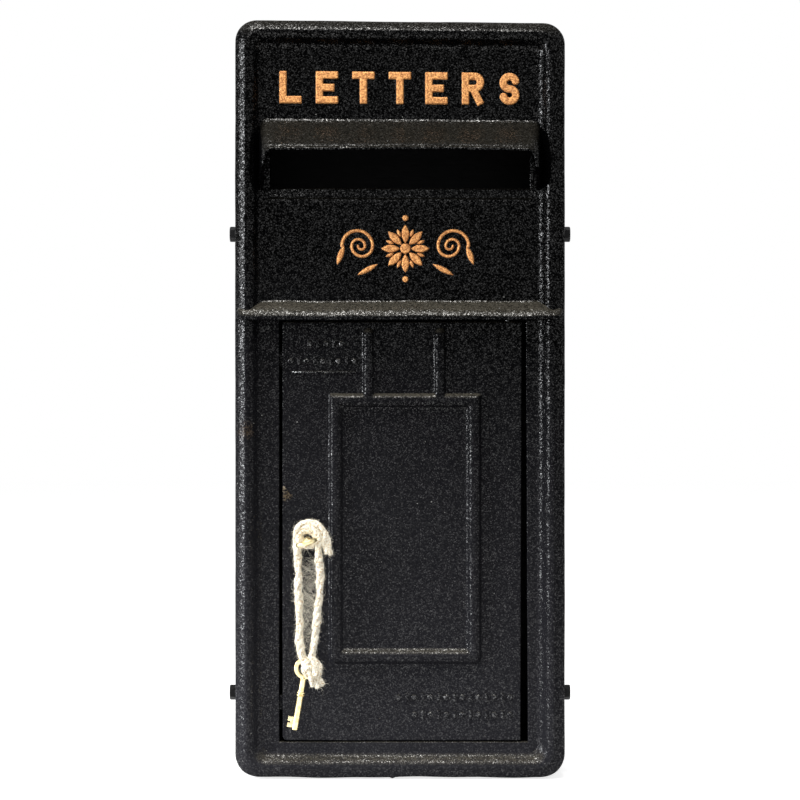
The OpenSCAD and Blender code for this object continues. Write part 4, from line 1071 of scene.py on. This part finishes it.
slot_r, half_slot, slot_foot = 0.0025, 0.00135, -0.0064
outline = [(slot_r * math.cos(a), slot_r * math.sin(a))
           for a in np.linspace(math.radians(-57), math.radians(237), 24)]
outline += [(-half_slot, slot_foot), (half_slot, slot_foot)]
n = len(outline)
hole = shown(shape("keyhole_cutter", [(key_x + u, y, key_z + v) for y in (-0.142, -0.128)
                                      for u, v in outline],
                   [cap[::-1] for cap in caps(n, 2)] + bands(n, 2), None))
cut = door.modifiers.new("keyhole", "BOOLEAN")
cut.object, cut.operation, cut.solver = hole, "DIFFERENCE", "EXACT"
door.data = bpy.data.meshes.new_from_object(
    door.evaluated_get(bpy.context.evaluated_depsgraph_get()))
door.modifiers.remove(cut)
bpy.data.objects.remove(hole)
part_of(door, "door", "door", "black_casting")

# ---- Bead rows: rows of small beads and short bars in low relief, at the door's upper left and
# lower right, with one thin line. They are cast with the door and painted over in black.
bead_pitch, bead_rise, bead_r, row_in = 0.006, 0.0013, 0.0021, 0.0006
first_row, last_row, row_gap = 0.0165, 0.0195, 0.013
line_in, line_end, line_w = 0.006, 0.055, 0.0016
rows = Recipe("bead_row", {"Length": "Float", "Pitch": "Float", "Bead": "Object", "Bar": "Object"})
count = (rows.given("Length") / rows.given("Pitch")).math("FLOOR") + 1.0
along = rows.add("ShaderNodeCombineXYZ", {"X": rows.given("Pitch")})
line = rows.add("GeometryNodeMeshLine", {"Count": count, "Offset": along}, mode="OFFSET")
odd = rows.add("GeometryNodeInputIndex").math("MODULO", 2.0)
both = rows.add("GeometryNodeJoinGeometry",
                {"Geometry": rows.copies(line, "Bead", Selection=1 - odd)})
put(both.socket.node, {"Geometry": rows.copies(line, "Bar", Selection=odd)})
rows.end(both)
bead_paint = cast_black("bead_gloss_black", shine=2.6)

dome, dome_faces = turned([(bead_r, -row_in), (bead_r, 0.0), (bead_r * 0.92, bead_rise * 0.55),
                           (bead_r * 0.55, bead_rise), (0.0, bead_rise * 1.15)], 16)
bead_shape = shape("bead", dome @ np.array([[1, 0, 0], [0, 0, 1], [0, -1, 0]]), dome_faces)
bar_shape = shape("short_bar", *block(-bead_r / 2, bead_r / 2, -bead_rise, row_in, -1.5 * bead_r,
                                      1.5 * bead_r, 0.0003))
anchor = shown(shape("anchor", [(0, 0, 0)], []))
row_list = [(door_l + 0.0204, door_high - first_row, 0.028),  # (x, z, length)
            (door_l + line_in, door_high - first_row - row_gap, 0.049),
            (door_r - 0.092, door_low + last_row + row_gap, 0.086),
            (door_r - 0.080, door_low + last_row, 0.074)]
for i, (x, z, length) in enumerate(row_list):
    row = rows.settle(f"bead_row_{i + 1}", anchor, Length=length, Pitch=bead_pitch, Bead=bead_shape,
                      Bar=bar_shape, Material=bead_paint)
    row.data.transform(Matrix.Translation((x, face_y, z)))
    part_of(row, "door", "door", "black_casting")
line_z = door_high - first_row - 1.7 * row_gap
bead_line = piece("bead_line", *block(door_l + line_in, door_l + line_end, face_y - bead_rise,
                                      face_y + row_in, line_z, line_z + line_w, 0.0004), bead_paint)
part_of(bead_line, "door", "door", "black_casting")

# ---- Hinge: two barrels cast on the door's back turn on steel pins, which stand in lugs cast on
# the back of the front. Two tabs behind the free edge stop the shut door.
hinge_x, hinge_y, hinge_top = 0.0811, -0.1283, 0.059
barrel_r, barrel_l, bore_r, lug_h, lug_half = 0.0046, 0.016, 0.00208, 0.012, 0.0055
chamfer, web_in, play, bedded = 0.0005, 0.0011, 0.0003, 0.001
stop_w, stop_t, stop_lap, stop_in = 0.011, 0.003, 0.0025, 0.028


def barrel(z0):
    shell, faces = turned([(bore_r, 0.0), (barrel_r - chamfer, 0.0), (barrel_r, chamfer),
                           (barrel_r, barrel_l - chamfer), (barrel_r - chamfer, barrel_l),
                           (bore_r, barrel_l)], 40, bored=True)
    web = block(hinge_x - barrel_r, hinge_x + barrel_r, back_y - bedded, hinge_y - bore_r - 0.0002,
                z0 + web_in, z0 + barrel_l - web_in, 0.0003)
    return [(shell + (hinge_x, hinge_y, z0), faces), web]


barrels = piece("hinge_barrels", *joined(barrel(open_low + play)
                                         + barrel(hinge_top - play - barrel_l)), door_paint, 40)
part_of(barrels, "door", "door", "black_casting")


def lug(z0):
    """A block on the plate's back with the pin's hole through it."""
    n = 40
    hole_line, outside = [], []
    for a in np.arange(n) * 2 * math.pi / n + math.pi / 4:
        hole_line.append((hinge_x + bore_r * math.cos(a), hinge_y + bore_r * math.sin(a)))
        far = lug_half / max(abs(math.cos(a)), abs(math.sin(a)))
        outside.append((hinge_x + far * math.cos(a),
                        max(hinge_y + far * math.sin(a), back_y - bedded)))
    points = [(x, y, z) for z in (z0, z0 + lug_h) for line in (hole_line, outside) for x, y in line]
    faces = []
    for j in range(n):
        k = (j + 1) % n
        faces += [(j, k, n + k, n + j), (3 * n + j, 3 * n + k, 2 * n + k, 2 * n + j),
                  (j, 2 * n + j, 2 * n + k, k), (n + j, n + k, 3 * n + k, 3 * n + j)]
    return np.array(points), faces


def stop(z):
    x1, y0, z0, z1 = door_l + stop_lap, back_y + play, z - stop_w / 2, z + stop_w / 2
    arm = block(x1 - stop_w, x1, y0, y0 + stop_t, z0, z1, chamfer)
    foot = block(x1 - stop_w, open_l - 0.0007, back_y - bedded, y0 + stop_t, z0, z1, chamfer)
    return [arm, foot]


lugs = piece("lugs_and_stops", *joined([lug(hinge_top), lug(open_low - lug_h)]
                                       + stop(door_high - stop_in) + stop(door_low + stop_in)),
             casting_paint, 40)
part_of(lugs, "box", "front_casting", "black_casting")


def plain_finish(name, grain, colours, rough, depth, **more):
    """Paint or metal with one grain, which moves its colour, its roughness and its surface."""
    finish = Finish(name)
    wave = finish.noise(*grain)
    colour = finish.mix(wave, *colours) if len(colours) == 2 else colours[0]
    return finish.paint(base_color=colour, roughness=wave * rough[0] + rough[1],
                        normal=finish.bump(wave, depth), **more)


steel = plain_finish("bright_steel", (700, 3, 0.6, (1, 1, 0.2)),
                     ((0.42, 0.42, 0.43), (0.62, 0.62, 0.64)), (0.2, 0.28), 0.00005, metallic=1.0)
dress(steel, "upper_hinge_pin", "lower_hinge_pin")

# ---- Steel box: a sheet wrapped round the four sides and a back plate inside its rear edge, both
# painted satin black by brush. The letters fall into it; it slides into the casting from behind.
sheet = Finish("black_sheet_paint")
peel = sheet.noise(300, 3, 0.55)
brushed = sheet.noise(60, 4, 0.6, squeeze=(1, 1, 7))
scuff = sheet.noise(35, 5, 0.7).above(0.62, 0.08)
sheet.paint(base_color=sheet.mix(scuff * 0.3, (0.006, 0.006, 0.007), (0.040, 0.038, 0.036)),
            roughness=0.36 + 0.18 * brushed + 0.15 * scuff, specular_ior_level=0.14,
            normal=sheet.bump(peel, 0.00010, sheet.bump(brushed, 0.00025)))
dress(sheet.material, "box_shell", "back_plate")

# ---- Side bolts: two bolts on each side hold the steel box in the casting, with washers under
# their black heads and zinc-plated nuts inside.
bolt_paint = plain_finish("black_bolt_paint", (800, 2, 0.5), ((0.004, 0.004, 0.0045),),
                          (0.3, 0.25), 0.0001, specular_ior_level=0.12)
zinc = plain_finish("zinc_plate", (420, 2, 0.5), ((0.38, 0.38, 0.37), (0.52, 0.52, 0.52)),
                    (0.3, 0.25), 0.00004, metallic=1.0)
fixings = Recipe("side_fixings", {"Half Width": "Float", "Bolt Y": "Float", "Upper Z": "Float",
                                  "Lower Z": "Float", "Part": "Object"})
corner = fixings.add("GeometryNodeInputIndex")
right_side = corner.math("MODULO", 2.0)
side_x = (right_side * 2.0 - 1.0) * fixings.given("Half Width")
row_z = fixings.add("ShaderNodeMix", {0: corner.math("GREATER_THAN", 1.5),
                                      2: fixings.given("Upper Z"), 3: fixings.given("Lower Z")},
                    data_type="FLOAT")
place = fixings.add("ShaderNodeCombineXYZ",
                    {"X": side_x, "Y": fixings.given("Bolt Y"), "Z": row_z})
four = fixings.add("GeometryNodePoints", {"Count": 4, "Position": place})
half_turn = fixings.add("ShaderNodeCombineXYZ", {"Z": (1 - right_side) * math.pi})
fixings.end(fixings.copies(four, "Part",
                           Rotation=fixings.add("FunctionNodeEulerToRotation", {0: half_turn})))


def hexagon(flats, height, hole_r=0.0):
    """A hexagon along +X from 0, its corners cut back at both ends as a turned chamfer does."""
    sides, top = 48, flats / 2 / math.cos(math.pi / 6)
    levels = [(0.0, 0.955), (0.06, 0.985), (0.15, 1.0), (0.85, 1.0), (0.94, 0.975), (1.0, 0.90)]
    rows = []
    for x, cone in levels:
        for a in np.arange(sides) * 2 * math.pi / sides:
            flat = flats / 2 / math.cos((a + math.pi / 6) % (math.pi / 3) - math.pi / 6)
            r = min(flat, top * cone)
            rows.append((x * height, r * math.cos(a), r * math.sin(a)))
    if hole_r:
        rows += [(x, hole_r * math.cos(a), hole_r * math.sin(a)) for x in (height, 0.0)
                 for a in np.arange(sides) * 2 * math.pi / sides]
        return np.array(rows), bands(sides, len(levels) + 2, along=True)
    return np.array(rows), bands(sides, len(levels)) + caps(sides, len(levels))


def along_x(parts, x0):
    """A shape turned about Z, laid along +X from x0."""
    points, faces = parts
    return points[:, [2, 0, 1]] + (x0, 0, 0), faces


head_w, head_h, washer_t, washer_r = 0.010, 0.0040, 0.0010, 0.0060
thread_r, thread_l, thread_pitch, nut_h, nut_far = 0.0030, 0.0150, 0.0008, 0.0050, 0.0117
head, head_faces = hexagon(head_w, head_h)
thread = [(0.0, 0.0), (thread_r * 0.8, 0.0)]
for i in range(17):
    thread += [(thread_r * 0.87, 0.0006 + i * thread_pitch), (thread_r, 0.0010 + i * thread_pitch)]
thread += [(thread_r, thread_l)]
bolt = joined([(head + (washer_t, 0, 0), head_faces),
               along_x(turned(thread, 24), washer_t - thread_l + 0.0003)])
disc = along_x(turned([(thread_r + 0.0002, 0.0), (washer_r - 0.0003, 0.0), (washer_r, 0.0003),
                       (washer_r, washer_t - 0.0003), (washer_r - 0.0003, washer_t),
                       (thread_r + 0.0002, washer_t)], 40, bored=True), 0.0)
nut, nut_faces = hexagon(head_w, nut_h, thread_r + 0.0001)
bolt_y, bolt_high, bolt_low = -0.120, 0.125, -0.2225
for name, parts, material, slot in (
        ("side_bolts", bolt, bolt_paint, "black_bolt"),
        ("side_washers", disc, bolt_paint, "black_bolt"),
        ("side_nuts", (nut - (nut_far, 0, 0), nut_faces), zinc, "zinc_steel")):
    set_of_four = fixings.settle(f"{name}_detailed", anchor, Half_Width=half_w, Bolt_Y=bolt_y,
                                 Upper_Z=bolt_high, Lower_Z=bolt_low,
                                 Part=shape(name + "_one", *parts), Material=material)
    part_of(set_of_four, "box", name, slot)
bpy.data.objects.remove(anchor)

# ---- Lock: a lever lock screwed to the door's back: a pressed steel case with a cover, a brass
# bolt that the key throws behind the casting, and a leaf spring that presses on it.
dress(zinc, "lock_case", "lock_cover")
dress(steel, "lock_screws", "cover_screws", "lock_spring")
dress(brass.material, "lock_bolt")

# ---- Studio: a plain pale floor in a white world, with one large soft lamp above and to the left,
# a weak one in front and a tall one at the left, which draws the bright edge of the left rim.
floor_half, floor_z, floor_glow, sky_light = 6, -0.2853, 0.78, 0.26


def backdrop_rays(tree):
    """1 for the rays that show the background: camera, glossy and transmission rays."""
    kinds = tree.nodes.new("ShaderNodeLightPath").outputs
    seen = Wire(tree, kinds["Is Camera Ray"])
    for kind in ("Is Glossy Ray", "Is Transmission Ray"):
        seen = seen.math("MAXIMUM", Wire(tree, kinds[kind]))
    return seen


ground = Finish("pale_floor_finish")
ground.paint(base_color=(0.80, 0.80, 0.80), roughness=0.9, specular_ior_level=0.0)
glow = ground.add("ShaderNodeEmission", {"Color": (1.0, 1.0, 1.0, 1.0),
                                         "Strength": backdrop_rays(ground.tree) * floor_glow})
ground.cover("ShaderNodeAddShader", {0: None, 1: glow})
floor = piece("studio_floor", [(x * floor_half, y * floor_half, floor_z)
                               for x, y in ((-1, -1), (1, -1), (1, 1), (-1, 1))],
              [(0, 1, 2, 3)], ground.material)

world = bpy.data.worlds.new("studio")
bpy.context.scene.world = world
world.use_nodes = True
sky = world.node_tree
put(sky.nodes["Background"], {"Color": (1.0, 1.0, 1.0, 1.0),
                              "Strength": backdrop_rays(sky) * (1 - sky_light) + sky_light})


def lamp(name, place, aim, width, height, power, colour):
    data = bpy.data.lights.new(name, "AREA")
    data.shape, data.size, data.size_y = "RECTANGLE", width, height
    data.energy, data.color = power, colour
    made = shown(bpy.data.objects.new(name, data))
    made.location = place
    made.rotation_euler = (Vector(aim) - Vector(place)).to_track_quat("-Z", "Y").to_euler()


lamp("top_light", (-0.20, -0.58, 1.35), (0.0, -0.14, 0.05), 0.95, 0.42, 26.0, (1.0, 0.98, 0.94))
lamp("front_light", (-0.60, -1.50, 0.95), (0.0, -0.14, 0.0), 0.50, 0.32, 4.0, (1.0, 0.99, 0.98))
lamp("left_light", (-1.50, -0.60, 0.20), (0.0, -0.14, 0.0), 0.50, 1.00, 30.0, (0.96, 0.98, 1.0))

bpy.context.scene.view_settings.view_transform = "Standard"
